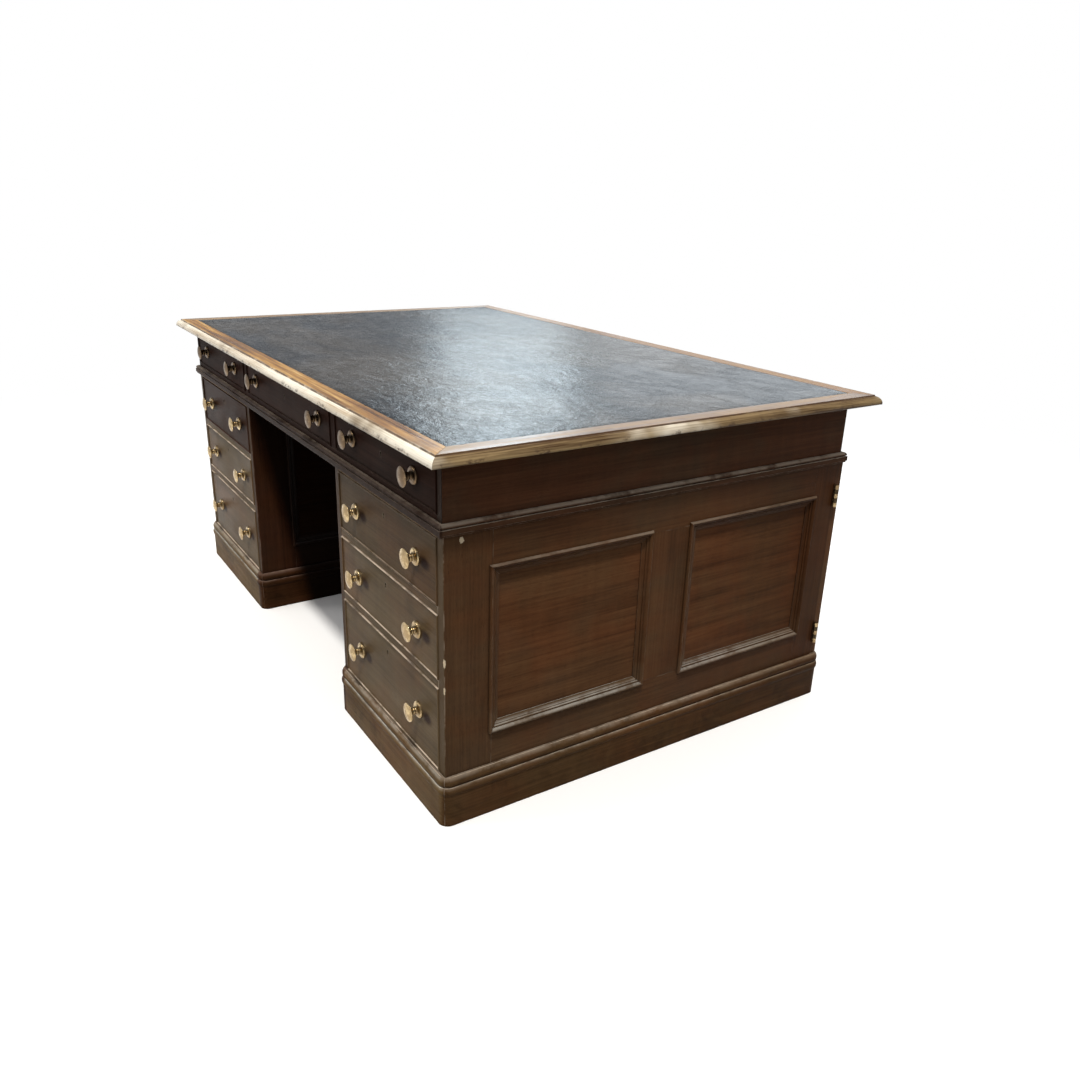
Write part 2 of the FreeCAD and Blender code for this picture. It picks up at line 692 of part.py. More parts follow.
def drawer(opening, face, facing, back_limit, knob_spacing, key_drop):
    """One drawer. The opening is its limits of x and of z, and back_limit the y of what stands behind it.
    Returns the solids of its front, of its box and of its brass."""
    (x_low, x_high), (z_low, z_high) = opening
    x_middle = (x_low + x_high) / 2
    half_width = (x_high - x_low) / 2 - drawer_gap
    half_height = (z_high - z_low) / 2 - drawer_gap
    z_middle = (z_low + z_high) / 2
    inside = face - facing * front_thickness
    box_end = back_limit + facing * back_clearance

    knobs = [(x_middle + way * knob_spacing / 2, z_middle) for way in (-1, 1)]
    key = (x_middle, z_middle + half_height - key_drop)

    # The front, rebated for its cock bead, which is planted in four mitred strips.
    xs = (x_middle - half_width, x_middle + half_width)
    zs = (z_middle - half_height, z_middle + half_height)
    board = block(xs, (face, inside), zs)
    rebate_ys = (face, face - facing * cockbead_depth)
    core = block((xs[0] + cockbead_width, xs[1] - cockbead_width), rebate_ys,
                 (zs[0] + cockbead_width, zs[1] - cockbead_width))
    board = board.cut(block(xs, rebate_ys, zs).cut(core))
    board = bore_for_brass(board, knobs, key, face, facing, front_thickness)
    nose = cockbead_proud - cockbead_width / 2
    bead_profile = [
        (-cockbead_width, -cockbead_depth),
        (0, -cockbead_depth),
        (0, nose),
        (-cockbead_width, nose, cockbead_width / 2),
    ]
    beads = stand_up(mitred_frame(half_width, half_height, bead_profile), Vector(x_middle, face, z_middle),
                     Vector(-facing, 0, 0), Vector(0, 0, 1))

    # The box: two sides dovetailed to the front and the back, and a bottom between them.
    side_foot = z_low + slide_gap
    side_top = zs[1] - side_drop
    back_top = side_top - back_drop
    outer = (x_high - x_low) / 2 - side_gap
    inner = outer - lining_thickness
    back_face = box_end + facing * lining_thickness
    floor_low = side_foot + bottom_raise
    back_board = block((x_middle - outer, x_middle + outer), (back_face, box_end), (floor_low, back_top))
    sides = []
    for way in (-1, 1):
        side_xs = (x_middle + way * inner, x_middle + way * outer)
        lining = block(side_xs, (inside, back_face), (side_foot, side_top))
        tail_length = front_thickness - cockbead_depth - tail_cover
        front_tails = tails(side_xs, inside, facing, tail_length, max(side_foot, zs[0]), side_top)
        back_tails = tails(side_xs, back_face, -facing, lining_thickness, floor_low, back_top)
        for tail in front_tails:
            lining = lining.fuse(tail)
            board = board.cut(tail)
        for tail in back_tails:
            lining = lining.fuse(tail)
            back_board = back_board.cut(tail)
        sides.append(lining.removeSplitter().Solids[0])
    bottom = block((x_middle - inner, x_middle + inner), (inside, back_face),
                   (floor_low, floor_low + bottom_thickness))
    box = sides + [back_board.Solids[0], bottom]
    brass = brass_set(knobs, key, (lock_width, lock_height), face, facing, front_thickness)
    return [board.Solids[0]] + beads, box, brass


def pedestal_openings():
    """The three drawer openings of a pedestal, as limits of z."""
    return {
        "bottom": (z_floor, z_lower_blade),
        "middle": (z_lower_blade + blade_thickness, z_upper_blade),
        "top": (z_upper_blade + blade_thickness, z_ceiling),
    }


def all_drawers():
    """Every drawer's name with what drawer() needs to make it."""
    found = {}
    for side, where in ((-1, "left"), (1, "right")):
        xs = tuple(sorted(across(side, bay_in, bay_out)))
        for level, zs in pedestal_openings().items():
            found["%s_%s_drawer" % (where, level)] = ((xs, zs), pedestal_front, -1, partition_y,
                                                      pedestal_knob_spacing, keyhole_drop)
    for facing, row in ((-1, "frieze"), (1, "back")):
        for where, xs in frieze_bays().items():
            spacing = middle_knob_spacing if where == "middle" else pedestal_knob_spacing
            found["%s_%s_drawer" % (row, where)] = ((xs, (z_frieze_floor, z_frieze_ceiling)),
                                                    facing * frieze_y, facing, facing * spine_thickness / 2,
                                                    spacing, frieze_keyhole_drop)
    return found


def drawer_stops():
    """Two small blocks behind the foot of each drawer front, which stop it flush."""
    pieces = []
    for (xs, (z_low, _)), face, facing, *_ in all_drawers().values():
        near = face - facing * front_thickness
        for share in (0.25, 0.75):
            x = xs[0] + share * (xs[1] - xs[0])
            pieces.append(block((x - stop_width / 2, x + stop_width / 2), (near, near - facing * stop_depth),
                                (z_low, z_low + stop_height)))
    return pieces


# --- Doors --------------------------------------------------------------------------------------
def hinge_barrels(side, z, first, radius, gap):
    """Every other knuckle of a hinge that stands at z, from the first, as cylinders on its axis."""
    step = hinge_height / hinge_knuckles
    pieces = []
    for place in range(first, hinge_knuckles, 2):
        foot = z + place * step + gap / 2
        pieces.append(Part.makeCylinder(radius, step - gap, Vector(side * hinge_x, hinge_y, foot)))
    return pieces


def hinge_leaf(side, z, first, bore):
    """One leaf with its knuckles. The fixed leaf has the first knuckle, and the door's the second."""
    other = 1 - first
    way = -1 if first == 0 else 1
    near = hinge_y + way * hinge_leaf_gap / 2
    leaf = block(across(side, pedestal_out - hinge_leaf_width, hinge_x),
                 (near, near + way * hinge_leaf_thickness), (z, z + hinge_height))
    for barrel in hinge_barrels(side, z, first, hinge_barrel_radius, hinge_gap):
        leaf = leaf.fuse(barrel)
    for room in hinge_barrels(side, z, other, hinge_barrel_radius + hinge_gap, -hinge_gap):
        leaf = leaf.cut(room)
    hole = Part.makeCylinder(bore, hinge_height, Vector(side * hinge_x, hinge_y, z))
    return leaf.cut(hole).removeSplitter().Solids[0]


def hinge_screws(side, z, way):
    """The three countersunk screws of the leaf that lies on the way side of the hinge's axis."""
    x = side * (pedestal_out - hinge_leaf_width / 2)
    y = hinge_y + way * hinge_leaf_gap / 2
    screws = []
    for place in (-1, 0, 1):
        start = Vector(x, y, z + hinge_height / 2 + place * screw_pitch)
        into_wood = Vector(0, way, 0)
        head = Part.makeCone(screw_head_radius, screw_radius, hinge_leaf_thickness, start, into_wood)
        shank = Part.makeCylinder(screw_radius, screw_length, start, into_wood)
        screws.append(head.fuse(shank).removeSplitter().Solids[0])
    return screws


def without(piece, others):
    """A piece with the room of the others cut out of it."""
    for other in others:
        piece = piece.cut(other)
    return piece.Solids[0]


def fixed_hinges(side):
    """The leaves, screws and pins that stay on a pedestal."""
    pieces = []
    for z in hinge_feet:
        screws = hinge_screws(side, z, -1)
        pieces.append(without(hinge_leaf(side, z, 0, hinge_pin_radius), screws))
        pieces.append(Part.makeCylinder(hinge_pin_radius, hinge_height, Vector(side * hinge_x, hinge_y, z)))
        pieces += screws
    return pieces


def door(side):
    """A cupboard door. Returns the solids of its frame, panel, moulding and brass."""
    def place(xs, depths, zs):
        return block(across(side, *xs), [door_face - deep for deep in depths], zs)

    x_in, x_out = pedestal_in + door_edge_gap, pedestal_out - door_edge_gap
    stile_in, stile_out = x_in + door_stile, x_out - door_stile
    z_low, z_high = door_foot + door_bottom_rail, door_top - door_top_rail
    frame, panels = panelled_frame(place, door_thickness, ((x_in, stile_in), (stile_out, x_out)),
                                   ((door_foot, z_low), (z_high, door_top)))

    # The lock stile takes the knob and the key, and the other stile the leaves of the hinges.
    knob_place = (side * (x_in + stile_in) / 2, (z_low + z_high) / 2)
    key_place = (knob_place[0], knob_place[1] + door_keyhole_rise)
    frame[0] = bore_for_brass(frame[0], [knob_place], key_place, door_face, 1, door_thickness)
    leaf_back = hinge_y + hinge_leaf_gap / 2 + hinge_leaf_thickness
    leaves = []
    for z in hinge_feet:
        seat = block(across(side, pedestal_out - hinge_leaf_width, hinge_x), (pedestal_back, leaf_back),
                     (z, z + hinge_height))
        screws = hinge_screws(side, z, 1)
        frame[1] = without(frame[1], [seat] + screws)
        leaves.append(without(hinge_leaf(side, z, 1, hinge_pin_radius + hinge_pin_clearance), screws))
        leaves += screws

    centre = Vector(side * (stile_in + stile_out) / 2, door_face, (z_low + z_high) / 2)
    moulding = stand_up(bolection((stile_out - stile_in) / 2, (z_high - z_low) / 2), centre,
                        Vector(-1, 0, 0), Vector(0, 0, 1))
    brass = brass_set([knob_place], key_place, (door_lock_width, door_lock_height), door_face, 1,
                      door_thickness)
    return frame, panels, moulding, brass + leaves


# --- Make every sub-part ------------------------------------------------------------------------
os.makedirs("parts", exist_ok=True)

z_leather = height - leather_thickness
save("top_board", [top_layer(z_top, z_leather)])
save("writing_leather", [top_layer(z_leather, height)])
save("top_border", top_border())
save("frieze_ends", frieze_ends())
save("frieze_framing", frieze_framing())
save("waist_moulding", waist_moulding())
for name, make in (
    ("side_frames", side_frames),
    ("side_panels", side_panels),
    ("side_mouldings", side_mouldings),
    ("drawer_blades", drawer_blades),
    ("pedestal_boards", pedestal_boards),
    ("shelves", cupboard_shelf),
    ("plinths", plinth),
    ("hinge_leaves", fixed_hinges),
):
    save(name, make(-1) + make(1))
save("dustboards", dustboards(-1) + dustboards(1) + [frieze_dustboard()])
save("drawer_stops", drawer_stops())
for name, needs in all_drawers().items():
    front, box, brass = drawer(*needs)
    save(name + "_front", front)
    save(name + "_box", box)
    save(name + "_brass", brass)
for side, where in ((-1, "left"), (1, "right")):
    frame, panel, moulding, brass = door(side)
    save(where + "_door_frame", frame)
    save(where + "_door_panel", panel)
    save(where + "_door_moulding", moulding)
    save(where + "_door_brass", brass)
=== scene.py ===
# %% [markdown]
# # A partners desk in Blender
# The desk comes in as a packed model of separate boards, mouldings, drawers and doors. This lesson
# keeps every piece where the joiner put it and gives it what the plain solids lack: arrises worn by
# hands and dusters, grain that runs along each board, old polish, an aged leather top and dull brass.

# %% Load the packed desk
import json
import math
import random

import bmesh
import bpy
from mathutils import Matrix, Vector, noise

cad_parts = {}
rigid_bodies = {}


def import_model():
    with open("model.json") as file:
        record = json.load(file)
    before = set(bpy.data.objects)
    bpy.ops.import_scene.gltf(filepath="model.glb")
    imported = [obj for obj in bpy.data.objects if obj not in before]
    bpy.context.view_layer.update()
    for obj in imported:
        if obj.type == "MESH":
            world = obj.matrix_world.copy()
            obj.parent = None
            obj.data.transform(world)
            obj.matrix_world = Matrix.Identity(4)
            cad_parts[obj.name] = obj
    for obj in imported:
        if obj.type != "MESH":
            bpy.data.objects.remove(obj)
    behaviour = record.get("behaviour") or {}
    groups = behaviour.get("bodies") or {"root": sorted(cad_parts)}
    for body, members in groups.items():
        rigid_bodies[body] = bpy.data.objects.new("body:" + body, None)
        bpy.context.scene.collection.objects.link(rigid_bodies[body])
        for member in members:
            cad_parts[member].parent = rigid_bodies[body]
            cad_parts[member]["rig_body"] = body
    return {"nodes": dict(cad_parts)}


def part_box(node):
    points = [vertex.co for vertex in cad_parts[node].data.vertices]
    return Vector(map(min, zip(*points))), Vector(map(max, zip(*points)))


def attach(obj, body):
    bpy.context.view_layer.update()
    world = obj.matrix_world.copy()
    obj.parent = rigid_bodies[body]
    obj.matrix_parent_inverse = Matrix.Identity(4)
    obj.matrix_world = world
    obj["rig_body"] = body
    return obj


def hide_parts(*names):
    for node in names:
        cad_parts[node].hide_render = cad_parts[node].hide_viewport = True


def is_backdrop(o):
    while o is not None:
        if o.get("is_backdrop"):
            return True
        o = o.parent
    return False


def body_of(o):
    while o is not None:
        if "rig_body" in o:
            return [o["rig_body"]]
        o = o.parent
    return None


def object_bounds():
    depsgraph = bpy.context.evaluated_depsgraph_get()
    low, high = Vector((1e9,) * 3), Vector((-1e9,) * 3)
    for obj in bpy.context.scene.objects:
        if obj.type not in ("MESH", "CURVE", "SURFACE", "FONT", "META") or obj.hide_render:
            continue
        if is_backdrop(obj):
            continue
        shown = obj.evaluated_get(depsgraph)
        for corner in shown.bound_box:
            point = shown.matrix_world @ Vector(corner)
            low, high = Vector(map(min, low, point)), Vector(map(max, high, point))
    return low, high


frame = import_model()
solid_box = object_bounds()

print("pieces in the packed desk:", len(frame["nodes"]))
print("desk box, lowest and highest corner:", [tuple(round(c, 3) for c in p) for p in solid_box])

# %% [markdown]
# ## The camera
# A desk this long is looked at from standing height near one corner, so the drawers, the panelled
# end and the whole leather show at once. The camera is set by where it stands, how far it is turned,
# how far it looks down and how far it leans, because those are the numbers a photographer would note.

# %% Stand the camera at the drawer side's right-hand corner
camera_place = Vector((2.17998, -1.20426, 1.18545))
camera_turn = math.radians(56.5197)
camera_look_down = math.radians(20.9166)
camera_lean = math.radians(1.786)

back = Vector((math.sin(camera_turn) * math.cos(camera_look_down),
               -math.cos(camera_turn) * math.cos(camera_look_down),
               math.sin(camera_look_down)))
level_right = (-back).cross(Vector((0, 0, 1))).normalized()
level_up = level_right.cross(-back)
right = math.cos(camera_lean) * level_right + math.sin(camera_lean) * level_up
up = -math.sin(camera_lean) * level_right + math.cos(camera_lean) * level_up

camera_data = bpy.data.cameras.new("camera")
camera_data.lens = 30.579
camera_data.sensor_width = 36
camera_data.clip_start = 0.05
camera_data.clip_end = 200
camera = bpy.data.objects.new("camera", camera_data)
camera.matrix_world = Matrix.Translation(camera_place) @ Matrix((right, up, back)).transposed().to_4x4()
bpy.context.scene.collection.objects.link(camera)
bpy.context.scene.camera = camera
bpy.context.scene.view_settings.view_transform = "Standard"
print("camera height in metres:", round(camera_place.z, 2))

# %% [markdown]
# ## A finish as a node tree
# Each finish is a small tree of nodes. Writing every node by hand hides the idea, so this helper
# adds a node, sets it and joins it in one line. An input is named or numbered. It is linked when it
# is given another node's socket, and set when it is given a plain number or colour.

# %% A helper that builds node trees
class Tree:
    """The node tree of a material or a world, built one node at a time."""

    def __init__(self, owner):
        self.owner = owner
        owner.use_nodes = True
        self.nodes = owner.node_tree.nodes
        self.links = owner.node_tree.links
        self.nodes.clear()

    def node(self, kind, inputs=None, **settings):
        made = self.nodes.new("ShaderNode" + kind)
        for setting, value in settings.items():
            setattr(made, setting, value)
        for socket, value in (inputs or {}).items():
            if isinstance(value, bpy.types.NodeSocket):
                self.links.new(value, made.inputs[socket])
            else:
                made.inputs[socket].default_value = value
        return made

    def end_in(self, output, shader):
        self.links.new(shader.outputs[0], self.node(output).inputs["Surface"])
        return self.owner


def rgb(red, green, blue):
    return (red, green, blue, 1.0)


white = rgb(1, 1, 1)
print("white, with the opacity that every node colour has:", white)

# %% [markdown]
# A few recipes come back in every finish: a noise, a soft band cut out of a noise, a weighted sum, a
# mix of two colours, and how open a spot is, which darkens corners with dirt and painted shade. Each
# gets a short name here, so that a finish further on reads as a list of what time did to the wood,
# and of where shade is painted.

# %% The recipes of every finish
class Finish(Tree):
    """A node tree with the recipes that old wood, leather and brass share."""

    def calc(self, operation, *values):
        return self.node("Math", dict(enumerate(values)), operation=operation).outputs[0]

    def times(self, first, second):
        return self.calc("MULTIPLY", first, second)

    def weighted(self, *values_and_weights):
        total, *shares = [self.times(value, weight) for value, weight in values_and_weights]
        for share in shares:
            total = self.calc("ADD", total, share)
        return total

    def length(self, vector):
        return self.node("VectorMath", {0: vector}, operation="LENGTH").outputs["Value"]

    def stretched(self, vector, scale):
        return self.node("VectorMath", {0: vector, 1: scale}, operation="MULTIPLY").outputs[0]

    def axis(self, vector, letter):
        return self.node("SeparateXYZ", {0: vector}).outputs[letter]

    def noise(self, vector, scale, detail=2.0, roughness=0.5, distortion=0.0):
        inputs = {"Vector": self.stretched(vector, scale), "Scale": 1.0, "Detail": detail,
                  "Roughness": roughness, "Distortion": distortion}
        return self.node("TexNoise", inputs).outputs[0]

    def band(self, value, low, high, to_low=0.0, to_high=1.0):
        inputs = {"Value": value, "From Min": low, "From Max": high, "To Min": to_low, "To Max": to_high}
        return self.node("MapRange", inputs, interpolation_type="SMOOTHSTEP").outputs[0]

    def mix(self, factor, first, second, blend="MIX"):
        colour_sockets = {0: factor, 6: first, 7: second}
        return self.node("Mix", colour_sockets, data_type="RGBA", blend_type=blend).outputs[2]

    def ramp(self, value, *stops):
        made = self.node("ValToRGB", {0: value})
        marks = made.color_ramp.elements
        for mark, (position, colour) in ((0, stops[0]), (1, stops[-1])):
            marks[mark].position = position
            marks[mark].color = rgb(*colour)
        for position, colour in stops[1:-1]:
            marks.new(position).color = rgb(*colour)
        return made.outputs[0]

    def attribute(self, name, part="Vector"):
        return self.node("Attribute", attribute_name=name).outputs[part]

    def place(self):
        return self.node("TexCoord").outputs["Object"]

    def openness(self, distance, own_piece_only=False):
        return self.node("AmbientOcclusion", {"Distance": distance}, samples=4,
                         only_local=own_piece_only).outputs["AO"]

    def bump(self, height, depth):
        return self.node("Bump", {"Height": height, "Strength": 1.0, "Distance": depth}).outputs[0]

    def principled(self, inputs):
        return self.end_in("OutputMaterial", self.node("BsdfPrincipled", inputs))


print("recipes:", ", ".join(name for name in vars(Finish) if not name.startswith("_")))


# %% [markdown]
# ## Floor and light
# The studio is a plain white floor that runs into a white background. Near the desk the floor is
# ordinary white paint and keeps the desk's soft shadow. Further out it turns into even white, so no
# horizon shows. Rays that carry bounced light meet a darker floor, because a real showroom floor
# throws little light up into a kneehole. Brass and polish still mirror the white one.

# %% Lay the floor
floor_radius = 60.0
shadow_to, even_from = 1.25, 3.8


def kinds_of_ray(finish):
    """Marks the rays that look straight at a thing, also through glass, and those that mirror it."""
    path = finish.node("LightPath").outputs
    return finish.calc("MAXIMUM", path["Is Camera Ray"], path["Is Transmission Ray"]), path["Is Glossy Ray"]


bm = bmesh.new()
bmesh.ops.create_circle(bm, cap_ends=True, segments=96, radius=floor_radius)
floor_mesh = bpy.data.meshes.new("studio_floor")
bm.to_mesh(floor_mesh)
bm.free()
floor = bpy.data.objects.new("studio_floor", floor_mesh)
bpy.context.scene.collection.objects.link(floor)
floor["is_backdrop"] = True

paint = Finish(bpy.data.materials.new("studio_floor_paint"))
seen = paint.calc("MAXIMUM", *kinds_of_ray(paint))
bounced = rgb(0.13, 0.125, 0.12)
far = paint.band(paint.length(paint.place()), shadow_to, even_from)
near_floor = paint.node("BsdfDiffuse", {"Color": paint.mix(seen, bounced, rgb(0.98, 0.98, 0.98))})
far_floor = paint.node("Emission", {"Color": paint.mix(seen, bounced, white), "Strength": 1.0})
blend = paint.node("MixShader", {0: far, 1: near_floor.outputs[0], 2: far_floor.outputs[0]})
floor_mesh.materials.append(paint.end_in("OutputMaterial", blend))
print("floor radius in metres:", floor_radius)

# %% [markdown]
# The light comes from four places: a pale room all round, a ceiling light a little to the front and
# right, a weak window at the front left, and tall lights beyond the desk whose reflection lies along
# the leather as a long pale streak. The room lights the desk more from above than from the sides. In
# a mirror it is white at the horizon and a dim grey blue overhead, which keeps the leather dark.

# %% Fill the room with pale light
world = bpy.data.worlds.new("white_room")
bpy.context.scene.world = world
room = Finish(world)
height = room.axis(room.node("TexCoord").outputs["Generated"], "Z")
straight, mirroring = kinds_of_ray(room)
mirrored = room.mix(room.band(height, 0.0, 0.18), white, rgb(0.21, 0.24, 0.28))
lighting = room.mix(room.calc("MAXIMUM", height, 0.0), rgb(0.15, 0.15, 0.155), rgb(0.9, 0.9, 0.9))
shown = room.mix(mirroring, lighting, mirrored)
sky = room.node("Background", {"Color": room.mix(straight, shown, white), "Strength": 1.0})
room.end_in("OutputWorld", sky)
print("the room is a world called", world.name)

# %% [markdown]
# The ceiling light is nearly overhead, so the top keeps the frieze dark, every ledge of a moulding
# catches a line of light, and a slanting shadow falls across the kneehole. The window is there for
# the brass: it puts a highlight on every knob.

# %% Hang the lamps
def lamp(name, kind, place, aim, power, colour, **settings):
    """Adds a lamp at a place, turned towards a point."""
    data = bpy.data.lights.new(name, kind)
    data.energy = power
    data.color = colour
    for setting, value in settings.items():
        setattr(data, setting, value)
    made = bpy.data.objects.new(name, data)
    made.location = place
    made.rotation_euler = (Vector(aim) - Vector(place)).to_track_quat("-Z", "Y").to_euler()
    bpy.context.scene.collection.objects.link(made)


lamp("ceiling_light", "SUN", (1.5, -1.1, 5.0), (0, 0, 0), 2.3, (1.0, 0.96, 0.90),
     angle=math.radians(3.5))
lamp("front_window", "SUN", (-2.0, -3.9, 2.1), (0, 0, 0.4), 0.55, (1.0, 0.96, 0.92),
     angle=math.radians(16))
lamp("tall_light", "AREA", (-4.20, 2.62, 2.68), (0.2, -0.1, 0.77), 37.0, (0.80, 0.93, 1.0),
     shape="RECTANGLE", size=1.1, size_y=1.5)
lamp("side_light", "AREA", (-3.0, 4.0, 1.95), (0.3, 0.1, 0.77), 15.0, (0.88, 0.95, 1.0),
     shape="RECTANGLE", size=2.2, size_y=1.7)

# %% [markdown]
# ## Taking a piece apart
# A packed piece holds one or more closed solids, such as the four mitred lengths of a moulding,
# and its faces come as loose triangles. A board can only be given its own grain and its own worn
# edges if it is on its own. Walking through the triangles in order, a solid is whole as soon as every
# edge has been met from both sides, so that is where one board ends and the next begins.

# %% Split a node into its boards
weld_step = 5e-6


def boards_of(node):
    """Returns the node's solids, each as a list of points and a list of triangles."""
    mesh = frame["nodes"][node].data
    found, points, index, faces, open_edges = [], [], {}, [], set()
    for polygon in mesh.polygons:
        corners = []
        for vertex in polygon.vertices:
            place = mesh.vertices[vertex].co
            key = tuple(round(c / weld_step) for c in place)
            if key not in index:
                index[key] = len(points)
                points.append(place.copy())
            corners.append(index[key])
        for pair in zip(corners, corners[1:] + corners[:1]):
            if pair[0] == pair[1]:
                continue
            if pair[::-1] in open_edges:
                open_edges.discard(pair[::-1])
            else:
                open_edges.add(pair)
        if len(set(corners)) == 3:
            faces.append(corners)
        if not open_edges:
            found.append((points, faces))
            points, index, faces = [], {}, []
    return found


print("mitred lengths in the top border:", len(boards_of("top_border")))

# %% [markdown]
# ## Working a board
# A sharp computer edge catches no light. On a real board the plane, a century of dusting and a few
# knocks round every arris a little. The arris is bevelled here in the mesh itself, so that it shows
# in outline as well. Before that, triangles that lie in one plane are joined, because a bevel only
# runs cleanly along a whole face.

# %% Build a board and ease its arrises
same_plane = math.radians(0.6)
arris_angle = math.radians(38)


def board_from(points, faces):
    """Builds one board from its points and triangles, with its flat faces whole again."""
    board = bmesh.new()
    made = [board.verts.new(p) for p in points]
    for corners in faces:
        try:
            board.faces.new([made[c] for c in corners])
        except ValueError:
            pass
    board.normal_update()
    bmesh.ops.dissolve_limit(board, angle_limit=same_plane, verts=board.verts[:], edges=board.edges[:])
    return board


def ease_arrises(board, ease, thickness, steps):
    """Bevels the board's arrises, and marks the new faces."""
    arris = board.faces.layers.float.new("arris")
    sharp = [e for e in board.edges if e.is_manifold and e.is_convex and e.calc_face_angle() > arris_angle]
    if sharp and ease:
        cut = bmesh.ops.bevel(board, geom=sharp, offset=min(ease, 0.3 * thickness), segments=steps,
                              profile=0.5, affect="EDGES", clamp_overlap=True)
        for face in cut["faces"]:
            face[arris] = 1.0


first_length = boards_of("top_border")[0]
board = board_from(*first_length)
print("the border's first length:", len(first_length[1]), "triangles,", len(board.faces), "whole faces")
board.free()


# %% [markdown]
# Each board also notes where its grain runs (along its longest side), how dark it is next to its
# neighbours, which faces are end grain, and which are arrises. The finish reads those notes. A
# rounded corner comes as narrow slanting faces, which count as an arris too.

# %% Lay the grain and mark the faces
crease_angle = math.radians(33)
end_grain_tilt = 0.8
slant = 0.985


def lay_grain(board, axes, label):
    """Writes the direction of the grain and the board's own tone on its points."""
    chance = random.Random(label)
    shift = Vector((chance.uniform(0, 9), chance.uniform(0, 9), chance.uniform(0, 9)))
    board_tone = Vector((chance.uniform(-1, 1), chance.uniform(-1, 1), chance.uniform(0, 1)))
    grain = board.verts.layers.float_vector.new("grain")
    tone = board.verts.layers.float_vector.new("board")
    for vertex in board.verts:
        vertex[grain] = Vector([vertex.co[a] for a in axes]) + shift
        vertex[tone] = board_tone


def mark_faces(board, along, round_corner):
    """Marks end grain and the narrow faces of a rounded corner, and smooths all but the creases."""
    end = board.faces.layers.float.new("end")
    arris = board.faces.layers.float["arris"]
    board.normal_update()
    for face in board.faces:
        face[end] = float(abs(face.normal[along]) > end_grain_tilt)
        face.smooth = True
        slanting = max(abs(c) for c in face.normal) < slant
        if slanting and face.calc_area() / max(e.calc_length() for e in face.edges) < round_corner:
            face[arris] = 1.0
    for edge in board.edges:
        edge.smooth = edge.is_manifold and edge.calc_face_angle() < crease_angle


def worked(points, faces, label, ease, steps, round_corner):
    """Returns one finished board, and the axis that its grain runs along."""
    low = Vector([min(p[a] for p in points) for a in range(3)])
    high = Vector([max(p[a] for p in points) for a in range(3)])
    size = high - low
    axes = sorted(range(3), key=lambda a: -size[a])
    board = board_from(points, faces)
    ease_arrises(board, ease, size[axes[2]], steps)
    lay_grain(board, axes, label)
    mark_faces(board, axes[0], round_corner)
    return board, axes[0]


trial, trial_run = worked(*first_length, "trial", ease=0.0009, steps=2, round_corner=0.0)
print("with eased arrises it has", len(trial.faces), "faces, and its grain runs along", "XYZ"[trial_run])


# %% [markdown]
# Some pieces were knocked and rubbed far more than others: the edge of the top, the plinths, the
# drawers' beads. Those boards are cut into short slices along their length, and the points on their
# arrises are pushed in here and there. The slices end short of the mitres, so the corners stay shut.

# %% Wear in the arrises
mitre_margin = 0.002
rub_scale, knock_scale = 45, 130


def worn_in(board, along, spacing, depth, seed):
    """Slices a board along its length and dents its arrises."""
    low = min(v.co[along] for v in board.verts)
    high = max(v.co[along] for v in board.verts)
    normal = Vector([float(a == along) for a in range(3)])
    count = int((high - low) / spacing)
    for cut in range(1, count):
        place = normal * (low + (high - low) * cut / count)
        bmesh.ops.bisect_plane(board, geom=board.verts[:] + board.edges[:] + board.faces[:],
                               dist=1e-6, plane_co=place, plane_no=normal)
    arris = board.faces.layers.float["arris"]
    board.normal_update()
    moves = []
    for vertex in board.verts:
        worn = sum(face[arris] for face in vertex.link_faces) / max(1, len(vertex.link_faces))
        if worn == 0 or not low + mitre_margin < vertex.co[along] < high - mitre_margin:
            continue
        if any(abs(face.normal[along]) > 0.3 for face in vertex.link_faces):
            continue
        rub = 0.5 + 0.5 * noise.noise(vertex.co * rub_scale + Vector((seed, 0, 0)))
        knock = max(0.0, noise.noise(vertex.co * knock_scale + Vector((0, seed, 0))) - 0.32) * 2.2
        moves.append((vertex, -vertex.normal * worn * depth * (0.5 * rub + knock)))
    for vertex, move in moves:
        vertex.co += move


worn_in(trial, trial_run, spacing=0.007, depth=0.0013, seed=1.0)
print("sliced and worn, it has", len(trial.faces), "faces")
trial.free()


# %% [markdown]
# The worked boards of a node go back together as one mesh, which stands for the packed node, rides
# on the same body and takes the finish it is given. Weighted normals keep the broad faces flat
# beside their rounded arrises.

# %% Put a node back together
def dress(node, finish, ease=0.0006, steps=2, wear=None, each=None, round_corner=0.0):
    """Replaces a packed node by its boards, each worked and given its grain."""
    whole = bpy.data.meshes.new(node + "_worked")
    gathered = bmesh.new()
    for number, (points, faces) in enumerate(boards_of(node)):
        board, along = worked(points, faces, f"{node}:{number}", ease, steps, round_corner)
        if wear:
            spacing, depth = wear
            worn_in(board, along, spacing, depth, number + 1.0)
        if each:
            each(board, along)
        part = bpy.data.meshes.new("part")
        board.to_mesh(part)
        gathered.from_mesh(part)
        bpy.data.meshes.remove(part)
        board.free()
    gathered.to_mesh(whole)
    gathered.free()
    whole.materials.append(finish)
    piece = bpy.data.objects.new(node + "_worked", whole)
    bpy.context.scene.collection.objects.link(piece)
    flat = piece.modifiers.new("keep_faces_flat", "WEIGHTED_NORMAL")
    flat.keep_sharp = True
    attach(piece, body_of(frame["nodes"][node])[0])
    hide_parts(node)
    return piece


# %% [markdown]
# ## Old mahogany
# Mahogany shows broad soft bands, fine streaks and short dark pores, all drawn out along the board.
# It is the same noise each time, stretched by different amounts along the grain. Over them lie a
# hundred years of polish, redder where it is whole and duller where it is tired.

# %% The figure and the polish
streak_size = (5, 230, 230)


